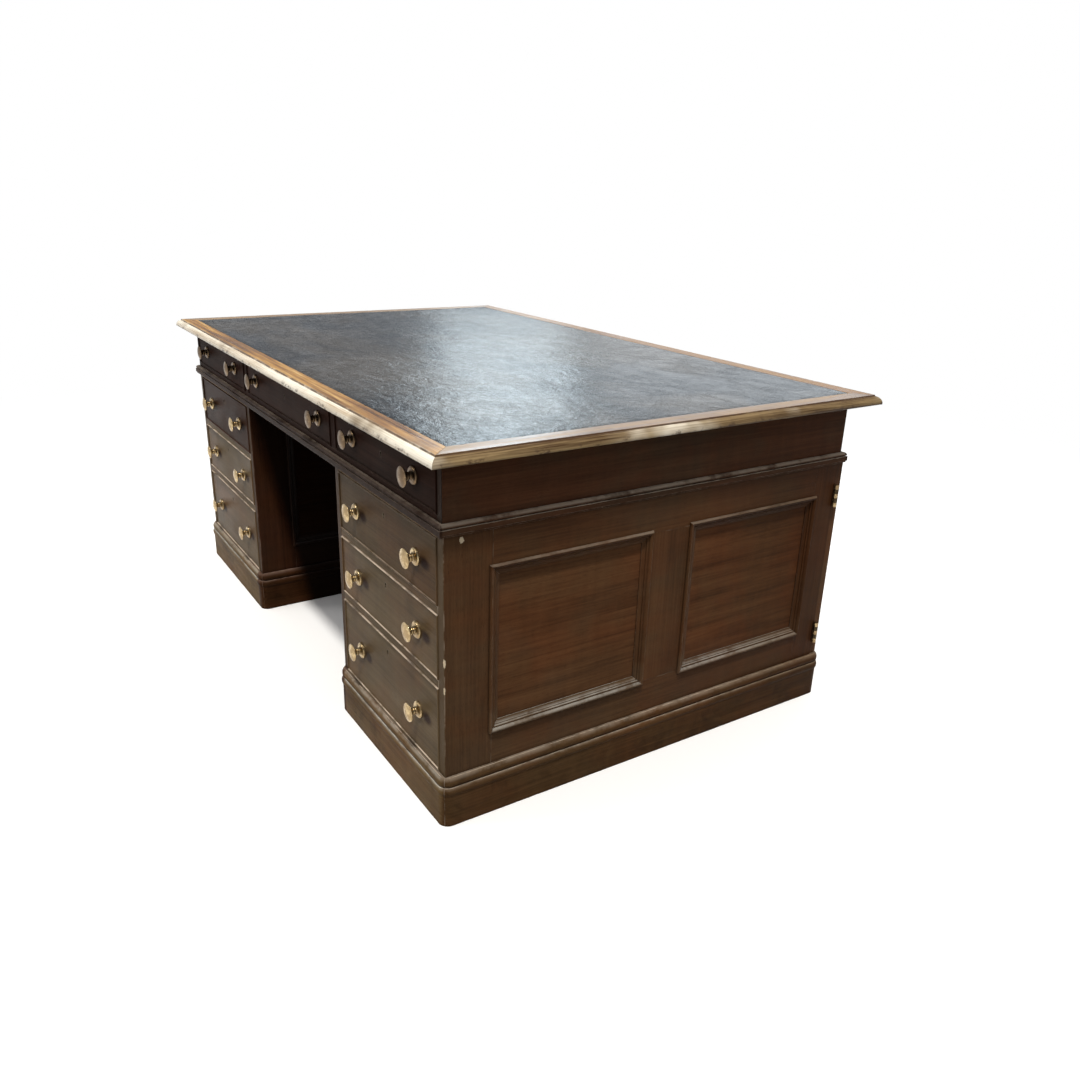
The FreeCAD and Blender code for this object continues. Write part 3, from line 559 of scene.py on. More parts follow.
def mahogany_figure(wood, tones, figure_size):
    """Bands, streaks and pores along the board. Returns the colour, the streaks and the pores."""
    grain = wood.attribute("grain")
    figure = wood.noise(grain, figure_size, 3.0, 0.55, 0.9)
    streak = wood.noise(grain, streak_size, 4.0, 0.6, 0.15)
    ripple = wood.noise(grain, (42, 6, 6), 2.0, 0.5, 0.4)
    pores = wood.band(wood.noise(grain, (75, 1300, 1300), 1.0), 0.6, 0.72)
    board_tone = wood.axis(wood.attribute("board"), "X")
    bands = wood.weighted((figure, 0.5), (streak, 0.38), (ripple, 0.12), (board_tone, 0.02))
    dark, middle, light = tones
    return wood.ramp(bands, (0.34, dark), (0.5, middle), (0.66, light)), streak, pores


def old_polish(wood, colour, middle, pores, place, red, haze):
    """Reddens and dulls the colour in patches, and darkens the pores. Returns it and how tired it is."""
    whole = wood.band(wood.noise(place, (4.2, 4.2, 5.5), 3.0, 0.6), 0.42, 0.66, 0.0, red)
    colour = wood.mix(whole, colour, rgb(1.25, 0.72, 0.55), "MULTIPLY")
    colour = wood.mix(wood.times(pores, 0.55), colour, rgb(0.35, 0.3, 0.28), "MULTIPLY")
    tired = wood.band(wood.noise(place, (3.1, 3.1, 4.3), 3.0, 0.6), 0.42, 0.7)
    grey = sum(middle) / 3
    return wood.mix(wood.times(tired, haze), colour, rgb(grey * 1.5, grey * 1.35, grey * 1.05)), tired


print("a streak is this many times longer than wide:", streak_size[1] // streak_size[0])


# %% [markdown]
# Use leaves its own marks on top: arrises are rubbed pale in broken runs, faces that look up hold
# dust, ledges of mouldings are scuffed and carry a painted highlight, and a knock takes a chip down
# to the bare wood. The chips are small ragged balls at given places, because on a real piece each
# one is an accident of its own.

# %% Rubbing, dust, painted highlights and chips
chip_colour = rgb(0.80, 0.66, 0.46)
dust_colour = rgb(0.27, 0.235, 0.19)


def rubbed_dusty_and_highlit(wood, colour, up, place, worn, rub, rub_from, dust, ledge_scuff_and_highlight):
    """Pale arrises, dust on what faces up, and ledges pale with scuffs and a painted highlight."""
    broken = wood.band(wood.noise(place, (26, 26, 26), 3.0, 0.65), rub_from, rub_from + 0.16, 0.0, rub)
    colour = wood.mix(wood.times(wood.attribute("arris", "Fac"), broken), colour, rgb(*worn))
    patchy = wood.band(wood.noise(place, (40, 40, 40), 4.0, 0.7), 0.3, 0.6)
    colour = wood.mix(wood.times(wood.band(up, 0.3, 0.8, 0.0, dust), patchy), colour, dust_colour)
    # Upward ledges are painted pale: scuffs, and a painted highlight.
    if ledge_scuff_and_highlight:
        scuffed = wood.band(wood.noise(place, (15, 15, 15), 4.0, 0.7), 0.32, 0.56)
        colour = wood.mix(wood.times(wood.band(up, 0.12, 0.6, 0.0, ledge_scuff_and_highlight), scuffed), colour, rgb(*worn))
    return colour


def chipped(wood, colour, place, chips):
    """Bare wood at each chip, given as x, y, z and size. A chip is taller than wide, the small ones most."""
    for x, y, z, size in chips:
        squash = 0.7 if size > 0.007 else 0.35
        spot = {0: wood.stretched(place, (1.0, 1.0, squash)), 1: (x, y, z * squash)}
        away = wood.node("VectorMath", spot, operation="DISTANCE").outputs["Value"]
        ragged = wood.calc("ADD", away, wood.times(wood.noise(place, (210, 210, 210), 3.0), size))
        colour = wood.mix(wood.band(ragged, size * 0.95, size * 1.15, 1.0, 0.0), colour, chip_colour)
    return colour


print("bare wood is this much lighter than dust:", round(sum(chip_colour[:3]) / sum(dust_colour[:3]), 1))


# %% [markdown]
# The layers go on in the order in which they came: figure, polish, dirt and painted shade in the
# corners, rubbing, dust, painted ledge highlights, chips. The gloss is kept low: old wax is silky, and
# a dark wood with a bright gloss looks lacquered. Where a piece has painted shade or a tint of its
# own, a function of the place says where and what.

# %% The mahogany finish
def mahogany(name, tones, gloss, rough=0.44, worn=(0.30, 0.23, 0.17), rub=0.5, rub_from=0.44, haze=0.2,
             dust=0.3, red=0.35, moving=False, figure_size=(1.4, 17, 17), edge_tint=None, ledge_scuff_and_highlight=0.0,
             blotch=0.0, hidden=None, chips=()):
    """A polished mahogany, from its darkest to its lightest streak."""
    wood = Finish(bpy.data.materials.new(name))
    place = wood.place()
    dark, middle, light = tones
    colour, streak, pores = mahogany_figure(wood, tones, figure_size)
    colour, tired = old_polish(wood, colour, middle, pores, place, red, haze)
    facing = wood.node("SeparateXYZ", {0: wood.node("NewGeometry").outputs["Normal"]}).outputs
    if edge_tint:
        outward = wood.band(wood.calc("ABSOLUTE", facing["Y"]), 0.5, 0.8)
        colour = wood.mix(outward, colour, rgb(*edge_tint))
    if blotch:
        stain = wood.noise(place, (8, 8, 11), 5.0, 0.68, 0.6)
        colour = wood.mix(wood.band(stain, 0.36, 0.5, blotch, 0.0), colour, rgb(0.42, 0.4, 0.4), "MULTIPLY")
        colour = wood.mix(wood.band(stain, 0.54, 0.68, 0.0, blotch * 0.6), colour, rgb(*light))
    # Corners and gaps are darkened from how closed in they are: dirt, and painted shade.
    corner = wood.band(wood.openness(0.012, moving), 0.25, 0.95, 0.75, 0.0)
    colour = wood.mix(corner, colour, rgb(dark[0] * 0.35, dark[1] * 0.35, dark[2] * 0.4))
    colour = rubbed_dusty_and_highlit(wood, colour, facing["Z"], place, worn, rub, rub_from, dust, ledge_scuff_and_highlight)
    colour = chipped(wood, colour, place, chips)
    # The piece's own painted shade and tints, from a function of the place.
    if hidden:
        where, stain = hidden(wood, place)
        colour = wood.mix(where, colour, stain, "MULTIPLY")
    colour = wood.mix(wood.times(wood.attribute("end", "Fac"), 0.4), colour, rgb(*dark))
    worn_gloss = wood.weighted((tired, 0.14), (streak, 0.1))
    roughness = wood.calc("ADD", worn_gloss, wood.calc("ADD", wood.times(corner, 0.2), rough - 0.08))
    relief = wood.weighted((streak, 0.5), (pores, -0.5), (wood.noise(place, (19, 19, 19), 2.0), 1.6))
    return wood.principled({"Base Color": colour, "Roughness": roughness, "Specular IOR Level": gloss,
                            "Normal": wood.bump(relief, 0.00018)})


# %% [markdown]
# ## The same finish, shaded and tinted
# The same finish is not the same colour everywhere. The kneehole is painted darker, darkest behind a
# slanting line, as the shadow cast from the frieze, and the cupboards' end is darker towards the back.
# The plinths' fronts are lighter and greyer, from dust and a painted sheen, and the lower runs of the
# panels' mouldings are greyed by dust and a painted highlight.

# %% Paint the kneehole's shadow and the pedestals' tints
kneehole_wall = 0.335, 0.345
front_face = 0.519
lit_from_height, lit_slope = 0.612, 0.22


def kneehole_shadow_and_tints(wood, place):
    """Painted shade and tints on the pedestals: the kneehole's painted shadow behind a slanting line, the
    ends darker towards the back, and the plinths' fronts lighter and greyer.
    """
    inside = wood.band(wood.calc("ABSOLUTE", wood.axis(place, "X")), *kneehole_wall, 1.0, 0.0)
    depth = wood.calc("SUBTRACT", front_face, wood.calc("ABSOLUTE", wood.axis(place, "Y")))
    reached = wood.times(wood.calc("SUBTRACT", lit_from_height, wood.axis(place, "Z")), lit_slope)
    # Behind this slanting line the kneehole is painted as in shadow.
    in_kneehole_shadow = wood.band(wood.calc("SUBTRACT", depth, reached), -0.012, 0.022)
    inner = wood.mix(in_kneehole_shadow, rgb(0.62, 0.50, 0.5), rgb(0.10, 0.09, 0.10))
    # Darker towards the back.
    outer = wood.mix(wood.band(wood.axis(place, "Y"), 0.0, 0.5), white, rgb(0.66, 0.58, 0.50))
    # The plinths' fronts are lightened and greyed: dust, and a painted sheen.
    plinth_front = wood.band(wood.axis(place, "Y"), -0.5285, -0.524, 0.8, 0.0)
    outer = wood.mix(plinth_front, outer, rgb(1.9, 2.3, 2.6))
    return 1.0, wood.mix(inside, outer, inner)


def dust_highlight_and_shade(wood, place):
    """The pedestals' painted shade and tints on the panels' mouldings, with their lower runs greyed by dust
    and a painted highlight, and their upper runs painted darker as shade under the top.
    """
    height = wood.axis(place, "Z")
    # Lower runs: dust and a painted highlight. Upper runs: painted shade under the top.
    dust = wood.mix(wood.band(height, 0.215, 0.245), rgb(1.2, 1.42, 1.65), white)
    dust = wood.mix(wood.band(height, 0.52, 0.55), dust, rgb(0.62, 0.60, 0.58))
    return 1.0, wood.mix(1.0, kneehole_shadow_and_tints(wood, place)[1], dust, "MULTIPLY")


print("daylight reaches this far into the kneehole at the floor:", round(lit_from_height * lit_slope, 3))


# %% [markdown]
# A dark patch beside each knob of the pedestal drawers, always on the same side, is the knob's
# painted shadow and reflection in the polish. The patches are placed from the knobs themselves, so
# they move with them if the desk changes.

# %% The painted shade beside the knobs
knob_head = 0.0195
knob_shade_offset = 0.038
brass_low, brass_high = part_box("right_top_drawer_brass")
knob_middle = (brass_low.x + brass_high.x) / 2
knob_half = (brass_high.x - brass_low.x) / 2 - knob_head
knob_rows = [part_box(f"right_{row}_drawer_brass")[0].z + knob_head for row in ("top", "middle", "bottom")]
print("pedestal knobs across:", [round(knob_middle + way * knob_half, 3) for way in (-1, 1)])
print("pedestal knobs' heights:", [round(z, 3) for z in knob_rows])


def knob_reflection_shade(wood, place):
    """The painted shadow and reflection beside each knob. Both pedestals are folded onto one, and both knobs
    too.
    """
    folded = wood.calc("ABSOLUTE", wood.calc("SUBTRACT", wood.axis(place, "X"), knob_shade_offset))
    across = wood.calc("ABSOLUTE", wood.calc("SUBTRACT", folded, knob_middle))
    across = wood.calc("SUBTRACT", across, knob_half)
    nearest = 1.0
    for row in knob_rows:
        above = wood.times(wood.calc("SUBTRACT", wood.axis(place, "Z"), row), 1.5)
        away = wood.length(wood.node("CombineXYZ", {0: across, 1: above}).outputs[0])
        nearest = wood.calc("MINIMUM", away, nearest)
    # Painted dark as the knob's shadow and reflection.
    return wood.band(nearest, 0.008, 0.028, 1.0, 0.0), rgb(0.16, 0.075, 0.04)


# %% [markdown]
# The top drawers are painted darker as shade under the top, those of the far pedestal most. Along
# the front and the back the overhang of the top shades the waist moulding, so it is painted darker
# there too.

# %% The painted shade under the top
def top_drawer_shade(wood, place):
    """Painted shade on the top drawers, with the painted shade beside their knobs."""
    shaded = wood.band(wood.axis(place, "X"), -0.5, 0.5, 1.0, 0.22)
    # The top drawers are painted darker as shade under the top.
    kept = wood.mix(shaded, white, rgb(0.26, 0.17, 0.165))
    where, knob_shade_colour = knob_reflection_shade(wood, place)
    return 1.0, wood.mix(where, kept, wood.mix(1.0, kept, knob_shade_colour, "MULTIPLY"))


def under_overhang(wood, place):
    """The long runs of the waist moulding, which the top shades more than it does the ends."""
    long_run = wood.band(wood.calc("ABSOLUTE", wood.axis(place, "Y")), 0.522, 0.526, 0.0, 0.85)
    return wood.times(long_run, wood.band(wood.axis(place, "X"), -0.8, -0.72)), rgb(0.3, 0.25, 0.25)


# %% [markdown]
# ## The mahogany colours
# The frieze sits in the shadow of the top: its front and rail are painted nearly black as shade, and
# the front edges of its ends too. The panels are the reddest, the drawer fronts have faded to an
# olive brown, and the plinth is scuffed and dusty. A few chips show bare wood near the corners. Each
# finish names its darkest, middle and lightest streak. Pieces that move keep their dark corners to
# themselves, or the dirt and painted shade in them would change as a drawer slides.

# %% Mix the mahogany colours
frieze_tones = (0.046, 0.026, 0.0155), (0.083, 0.047, 0.026), (0.124, 0.070, 0.038)
shaded_tones = (0.019, 0.0100, 0.0074), (0.035, 0.0185, 0.0135), (0.055, 0.030, 0.0215)
waist_tones = (0.042, 0.022, 0.011), (0.078, 0.042, 0.022), (0.125, 0.070, 0.039)
side_tones = (0.049, 0.0245, 0.0115), (0.090, 0.046, 0.0205), (0.122, 0.064, 0.029)
panel_tones = (0.066, 0.0305, 0.0135), (0.12, 0.057, 0.025), (0.165, 0.080, 0.035)
front_tones = (0.083, 0.056, 0.030), (0.138, 0.095, 0.050), (0.183, 0.128, 0.070)
plinth_tones = (0.043, 0.0205, 0.0070), (0.081, 0.041, 0.0145), (0.12, 0.064, 0.026)
pale_arris = (0.55, 0.45, 0.35)
# The frieze ends' front edges are painted near black as shade.
frieze_corner_shade, faded_corner = (0.014, 0.009, 0.007), (0.098, 0.064, 0.034)
side_chips = ((0.8365, -0.482, 0.600, 0.0080), (0.8352, -0.5188, 0.362, 0.0055),
              (0.8352, -0.5188, 0.303, 0.0045))
plinth_chips = ((0.8480, -0.5290, 0.066, 0.0055),)

# The frieze's front and rail: little gloss as painted shade, and little wear.
shaded_and_hardly_touched = dict(gloss=0.008, rub=0.3, dust=0.15, haze=0.05)
flat_side = dict(gloss=0.04, rub=0.6, dust=0.45)
framed = dict(gloss=0.045, worn=pale_arris, rub=0.6, dust=0.3, ledge_scuff_and_highlight=0.22)
reddest = dict(gloss=0.025, figure_size=(2.2, 30, 30))
finishes = {
    "frieze": mahogany("frieze_mahogany", frieze_tones, gloss=0.025, rub=0.3, dust=0.15, haze=0.1, red=0.6,
                       edge_tint=frieze_corner_shade),
    "frieze_front": mahogany("frieze_front_mahogany", shaded_tones, moving=True, **shaded_and_hardly_touched),
    "frieze_rail": mahogany("frieze_rail_mahogany", shaded_tones, **shaded_and_hardly_touched),
    "moulding": mahogany("moulding_mahogany", waist_tones, gloss=0.03, worn=pale_arris, rub=0.9,
                         rub_from=0.40, dust=0.4, ledge_scuff_and_highlight=0.45, hidden=under_overhang),
    "side": mahogany("side_mahogany", side_tones, edge_tint=faded_corner, hidden=kneehole_shadow_and_tints,
                     chips=side_chips, **flat_side),
    "side_moulding": mahogany("side_moulding_mahogany", side_tones, hidden=dust_highlight_and_shade, **framed),
    "panel": mahogany("panel_mahogany", panel_tones, hidden=kneehole_shadow_and_tints, **reddest),
    "front": mahogany("front_mahogany", front_tones, gloss=0.024, rough=0.33, worn=pale_arris, rub=0.8,
                      rub_from=0.4, moving=True, ledge_scuff_and_highlight=0.9, hidden=knob_reflection_shade),
    # The top drawers' fronts: a shaded copy of the front finish, with less gloss and painted shade under the
    # top.
    "front_top": mahogany("front_top_mahogany", front_tones, gloss=0.016, rough=0.33, worn=pale_arris,
                          rub=0.6, rub_from=0.4, moving=True, ledge_scuff_and_highlight=0.3, hidden=top_drawer_shade),
    "blade": mahogany("blade_mahogany", front_tones, gloss=0.045, worn=pale_arris, rub=0.9,
                      rub_from=0.3, dust=0.5, ledge_scuff_and_highlight=0.8),
    "door": mahogany("door_mahogany", side_tones, moving=True, **flat_side),
    "door_moulding": mahogany("door_moulding_mahogany", side_tones, moving=True, **framed),
    "door_panel": mahogany("door_panel_mahogany", panel_tones, moving=True, **reddest),
    "plinth": mahogany("plinth_mahogany", plinth_tones, gloss=0.04, rough=0.5, worn=pale_arris, rub=0.6,
                       rub_from=0.38, haze=0.12, dust=0.3, ledge_scuff_and_highlight=0.18, blotch=0.5, hidden=kneehole_shadow_and_tints,
                       chips=plinth_chips),
}
print("mahogany finishes:", ", ".join(finishes))

# %% [markdown]
# ## Woods that were never polished
# Drawer linings, the boards inside the carcase and the shelves were left from the plane: paler,
# dry, with open grain, and dirt and painted shade near the edges.

# %% Plain timber
def plain_timber(name, dark, light, moving):
    """Unpolished timber with soft growth rings, and edges darkened by dirt and painted shade."""
    wood = Finish(bpy.data.materials.new(name))
    grain = wood.attribute("grain")
    rings = wood.noise(grain, (0.9, 60, 60), 3.0, 0.5, 0.5)
    fleck = wood.noise(grain, (30, 420, 420), 2.0, 0.6)
    bands = wood.weighted((rings, 0.65), (fleck, 0.35))
    colour = wood.mix(wood.band(bands, 0.36, 0.64), rgb(*dark), rgb(*light))
    stain = wood.band(wood.noise(wood.place(), (7, 7, 7), 4.0, 0.65), 0.5, 0.75, 0.0, 0.45)
    colour = wood.mix(stain, colour, rgb(dark[0] * 0.5, dark[1] * 0.45, dark[2] * 0.4))
    # Dirt and painted shade where the board is closed in.
    dirt_and_shade = wood.band(wood.openness(0.02, moving), 0.2, 0.9, 0.6, 0.0)
    colour = wood.mix(dirt_and_shade, colour, rgb(dark[0] * 0.3, dark[1] * 0.28, dark[2] * 0.25))
    return wood.principled({"Base Color": colour, "Roughness": wood.band(fleck, 0.2, 0.8, 0.62, 0.8),
                            "Normal": wood.bump(bands, 0.0003), "Specular IOR Level": 0.2})


lining = plain_timber("drawer_lining_oak", (0.30, 0.19, 0.10), (0.52, 0.37, 0.21), True)
carcase = plain_timber("carcase_pine", (0.24, 0.15, 0.085), (0.42, 0.28, 0.16), False)
print("plain timbers:", lining.name, carcase.name)

# %% [markdown]
# ## The worn border of the top
# The polish on the border has gone: the flat is orange-tan bare wood with dark streaks, and the
# moulded edge along the long sides, where sleeves and hands pass, is rubbed to the colour of straw,
# with a painted highlight. The ends' flats are painted grey as a sheen, the far side is painted
# darker as shade, and the ends' edges keep more of the old gold.

# %% Colour the border's flat and its edge
def border_flat(wood, bands, place, long_side_wear_and_light):
    """Orange-tan wood, dulled in patches, painted darker at the far side as shade, and painted grey at the
    ends as a sheen.
    """
    tan = wood.ramp(bands, (0.38, (0.10, 0.046, 0.018)), (0.46, (0.31, 0.150, 0.048)),
                    (0.54, (0.50, 0.272, 0.080)), (0.62, (0.68, 0.46, 0.20)))
    dulled = wood.band(wood.noise(place, (3.2, 3.2, 3.2), 4.0, 0.62, 0.5), 0.45, 0.6, 0.0, 0.55)
    # The far side is painted darker as shade.
    far_side_shade = wood.band(wood.axis(place, "Y"), 0.46, 0.52, 0.0, 0.6)
    colour = wood.mix(wood.calc("MAXIMUM", dulled, far_side_shade), tan, rgb(0.20, 0.105, 0.05))
    # The ends' flats are painted grey as a sheen.
    greyed = wood.calc("SUBTRACT", 0.6, wood.times(long_side_wear_and_light, 0.6))
    return wood.mix(greyed, colour, rgb(0.27, 0.225, 0.19))


def border_edge(wood, bands, place, long_side_wear_and_light):
    """Straw-coloured along the long sides, from wear and a painted highlight, and golden brown in patches at
    the ends.
    """
    straw = wood.ramp(bands, (0.36, (0.55, 0.42, 0.27)), (0.56, (0.97, 0.91, 0.77)))
    golden = wood.ramp(bands, (0.40, (0.07, 0.035, 0.014)), (0.61, (0.36, 0.25, 0.12)))
    # Paler along the long sides: wear, and a painted highlight.
    pale_wear_and_light = wood.calc("ADD", wood.noise(place, (5, 5, 5), 3.0, 0.6), wood.times(long_side_wear_and_light, 0.3))
    return wood.mix(wood.band(pale_wear_and_light, 0.5, 0.76), golden, straw)


# %% [markdown]
# The mesh tells how far out each point lies, so one finish can change from flat to edge along a
# wandering line. The groove between them is painted dark in broken runs as shade, old dark polish
# stays in small nicks low on the edge, and dirt and painted shade darken the corners.

# %% The border finish
leather_half_length, leather_half_depth = 0.835, 0.511
flat_width = 0.041


def mark_reach(board, along):
    """Writes how far each point lies outside the leather, in metres, and which lengths run along the long
    sides.
    """
    reach = board.verts.layers.float.new("reach")
    long_side_wear_and_light = board.verts.layers.float.new("long_side_wear_and_light")
    for vertex in board.verts:
        vertex[reach] = max(abs(vertex.co.x) - leather_half_length, abs(vertex.co.y) - leather_half_depth)
        vertex[long_side_wear_and_light] = float(along == 0)


def worn_border():
    """The border's finish, from the leather's edge out."""
    wood = Finish(bpy.data.materials.new("border_wood_worn"))
    grain, place = wood.attribute("grain"), wood.place()
    reach, long_side_wear_and_light = wood.attribute("reach", "Fac"), wood.attribute("long_side_wear_and_light", "Fac")
    figure = wood.noise(grain, (2.2, 46, 46), 3.0, 0.6, 0.7)
    streak = wood.noise(grain, (7, 420, 420), 4.0, 0.65, 0.2)
    bands = wood.weighted((figure, 0.5), (streak, 0.5))
    wander = wood.times(wood.calc("SUBTRACT", wood.noise(place, (9, 9, 9), 3.0), 0.5), 0.008)
    outward = wood.band(wood.calc("ADD", reach, wander), flat_width - 0.004, flat_width + 0.003)
    colour = wood.mix(outward, border_flat(wood, bands, place, long_side_wear_and_light),
                      border_edge(wood, bands, place, long_side_wear_and_light))
    # A dark line painted as shade along the groove, in broken runs.
    groove = wood.times(wood.band(reach, flat_width - 0.003, flat_width - 0.0005),
                        wood.band(reach, flat_width + 0.0005, flat_width + 0.003, 1.0, 0.0))
    kept = wood.band(wood.noise(place, (11, 11, 11), 3.0, 0.7), 0.3, 0.52)
    colour = wood.mix(wood.times(wood.times(groove, kept), 0.8), colour, rgb(0.10, 0.05, 0.025))
    nick = wood.band(wood.noise(place, (34, 34, 60), 3.0, 0.7), 0.54, 0.66)
    low_edge = wood.band(wood.axis(place, "Z"), 0.757, 0.766, 1.0, 0.15)
    colour = wood.mix(wood.times(wood.times(nick, low_edge), 0.85), colour, rgb(0.085, 0.05, 0.03))
    # Corners are darkened from how closed in they are: dirt, and painted shade.
    corner = wood.band(wood.openness(0.006), 0.3, 0.9, 0.6, 0.0)
    colour = wood.mix(corner, colour, rgb(0.06, 0.03, 0.015))
    relief = wood.weighted((streak, 0.6), (nick, -0.8))
    return wood.principled({"Base Color": colour, "Roughness": wood.band(figure, 0.3, 0.7, 0.26, 0.42),
                            "Normal": wood.bump(relief, 0.0002), "Specular IOR Level": 0.17})


border = dress("top_border", worn_border(), ease=0.0009, wear=(0.007, 0.0013), each=mark_reach)
print("faces in the worn border:", len(border.data.polygons))

# %% [markdown]
# ## The leather
# The writing leather is a single dark blue-black hide glued to the board. It is never quite flat:
# it swells and sinks by a fraction of a millimetre, and its edge is rubbed down where it meets the
# border. That is worth modelling, because a long reflection shows every wave. The hide's own creases
# are too fine for the mesh and go into the bump.

# %% Lay the leather
leather_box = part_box("writing_leather")
leather_columns, leather_rows = 222, 136
edge_roll = 0.005
edge_drop = 0.0006
wave_height = 0.00022


def leather_height(x, y):
    """How far the leather's face lies above its lowest rubbed edge."""
    inside = min(leather_half_length - abs(x), leather_half_depth - abs(y))
    rolled = min(1.0, max(0.0, inside / edge_roll))
    waves = noise.noise(Vector((x * 3.1, y * 4.3, 0.3))) + 0.5 * noise.noise(Vector((x * 11, y * 15, 4.1)))
    return edge_drop * math.sqrt(rolled) + wave_height * rolled * waves


bm = bmesh.new()
low, high = leather_box
grid = []
for row in range(leather_rows + 1):
    line = []
    for column in range(leather_columns + 1):
        x = low[0] + (high[0] - low[0]) * (column / leather_columns)
        y = low[1] + (high[1] - low[1]) * (row / leather_rows)
        line.append(bm.verts.new((x, y, high[2] - edge_drop + leather_height(x, y))))
    grid.append(line)
for near, beyond in zip(grid, grid[1:]):
    for column in range(leather_columns):
        bm.faces.new((near[column], near[column + 1], beyond[column + 1], beyond[column]))
print("faces on top of the leather:", len(bm.faces))

# %% [markdown]
# A skirt runs down from the rim to the board and a floor closes it, so the hide is a solid sheet
# with no open edge.

# %% Close the leather
rim = grid[0] + [line[-1] for line in grid[1:]] + grid[-1][-2::-1] + [line[0] for line in grid[-2:0:-1]]
foot = [bm.verts.new((v.co.x, v.co.y, low[2])) for v in rim]
for corner in range(len(rim)):
    after = (corner + 1) % len(rim)
    bm.faces.new((rim[corner], foot[corner], foot[after], rim[after]))
bm.faces.new(foot[::-1])
bm.normal_update()
for face in bm.faces:
    face.smooth = True
for edge in bm.edges:
    edge.smooth = edge.is_manifold and edge.calc_face_angle() < crease_angle
leather_mesh = bpy.data.meshes.new("leather_hide")
bm.to_mesh(leather_mesh)
bm.free()
leather = bpy.data.objects.new("leather_hide", leather_mesh)
bpy.context.scene.collection.objects.link(leather)
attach(leather, "desk")
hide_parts("writing_leather")
print("leather in metres:", [round(high[a] - low[a], 3) for a in range(3)])

# %% [markdown]
# The hide was dyed near black. Use has greyed it in soft patches, most of all in front of each seat,
# and long light scuffs run along the desk where papers and books were pushed.

# %% The leather's colour
seat_from_middle, seat_reach = 0.30, (0.62, 0.34)
dyed, greyed = rgb(0.0032, 0.0045, 0.0068), rgb(0.050, 0.039, 0.027)

hide = Finish(bpy.data.materials.new("writing_leather_hide"))
place = hide.place()
from_seat = hide.calc("SUBTRACT", hide.calc("ABSOLUTE", hide.axis(place, "Y")), seat_from_middle)
seat = hide.node("CombineXYZ", {0: hide.calc("DIVIDE", hide.axis(place, "X"), seat_reach[0]),
                                1: hide.calc("DIVIDE", from_seat, seat_reach[1])}).outputs[0]
written_on = hide.band(hide.length(seat), 0.2, 1.25, 0.14, 0.0)
patch = hide.calc("ADD", hide.noise(place, (2.3, 3.4, 1), 5.0, 0.66, 0.4), written_on)
wrinkle = hide.noise(place, (55, 70, 1), 4.0, 0.68, 1.4)
crack = hide.band(hide.calc("ABSOLUTE", hide.calc("SUBTRACT", wrinkle, 0.5)), 0.0, 0.03, 1.0, 0.0)
scuff = hide.band(hide.noise(place, (5, 34, 1), 6.0, 0.74, 0.9), 0.54, 0.70, 0.0, 0.5)
colour = hide.mix(hide.band(patch, 0.42, 0.72), dyed, greyed)
colour = hide.mix(hide.times(crack, 0.25), colour, rgb(0.056, 0.057, 0.056))
colour = hide.mix(scuff, colour, rgb(0.15, 0.157, 0.165))
print("each seat's middle lies this far from the desk's middle:", seat_from_middle)

# %% [markdown]
# Use polished the hide in some places and dulled it in others, so its gloss wanders. Creases cross
# it in all directions, with a pebbled grain between. They calm down in patches, which breaks the
# long reflection into streaks instead of an even frost.

# %% The leather's gloss and creases
ripple = hide.noise(place, (13, 19, 1), 4.0, 0.62, 0.7)
roughness = hide.calc("ADD", hide.band(ripple, 0.34, 0.66, 0.18, 0.265), hide.times(crack, 0.12))
pebble = hide.node("TexVoronoi", {"Vector": place, "Scale": 330.0}, feature="F1").outputs["Distance"]
fold = hide.noise(place, (14, 19, 1), 3.0, 0.6, 0.8)
creases = hide.weighted((wrinkle, 0.62), (pebble, 0.12), (fold, 1.9))
calm = hide.band(hide.noise(place, (2.1, 2.8, 1), 2.0), 0.38, 0.6, 0.55, 1.0)
relief = hide.calc("ADD", hide.times(creases, calm), hide.times(scuff, 0.12))
leather_mesh.materials.append(hide.principled({
    "Base Color": colour, "Roughness": roughness, "Normal": hide.bump(relief, 0.0016),
    "Specular IOR Level": 0.2}))
print("leather finish:", leather_mesh.materials[0].name)

# %% [markdown]
# ## Brass
# The knobs, locks and hinges are cast and turned brass. Brass that is handled stays bright where
# fingers rub and goes brown in the hollows, so the colour and the gloss follow a soft tarnish and
# the hollows. The turned shapes are already right, so the packed pieces keep their own meshes. The
# parts behind a wooden face are painted black as shade, or they would glow in the gap round a drawer.

# %% The brass finish
hollow_dirt = rgb(0.055, 0.032, 0.015)
behind_face_shade = rgb(0.03, 0.02, 0.012)


def brass(name, bright, brown, tarnished, face=0.5195):
    """Aged brass. What lies further in than the wooden face, measured from the desk's middle, is painted
    black as shade.
    """
    metal = Finish(bpy.data.materials.new(name))
    place = metal.place()
    old = metal.band(metal.noise(place, (85, 85, 85), 4.0, 0.6), tarnished, tarnished + 0.25, 1.0, 0.0)
    hollow = metal.band(metal.openness(0.006, True), 0.35, 0.95, 1.0, 0.0)
    colour = metal.mix(old, rgb(*bright), rgb(*brown))
    colour = metal.mix(metal.times(hollow, 0.85), colour, hollow_dirt)
    depth = metal.calc("ABSOLUTE", metal.axis(place, "Y"))
    buried = metal.band(depth, face - 0.0006, face - 0.0001, 1.0, 0.0)
    # Brass behind the wooden face is painted black as shade.
    colour = metal.mix(metal.times(buried, 0.9), colour, behind_face_shade)
    roughness = metal.calc("ADD", metal.band(old, 0.0, 1.0, 0.22, 0.40), metal.times(hollow, 0.3))
    roughness = metal.calc("ADD", roughness, metal.times(buried, 0.25))
    fine_scratches = metal.noise(place, (900, 900, 900), 2.0)
    return metal.principled({"Base Color": colour, "Metallic": 1.0, "Roughness": roughness,
                             "Normal": metal.bump(fine_scratches, 0.00003)})


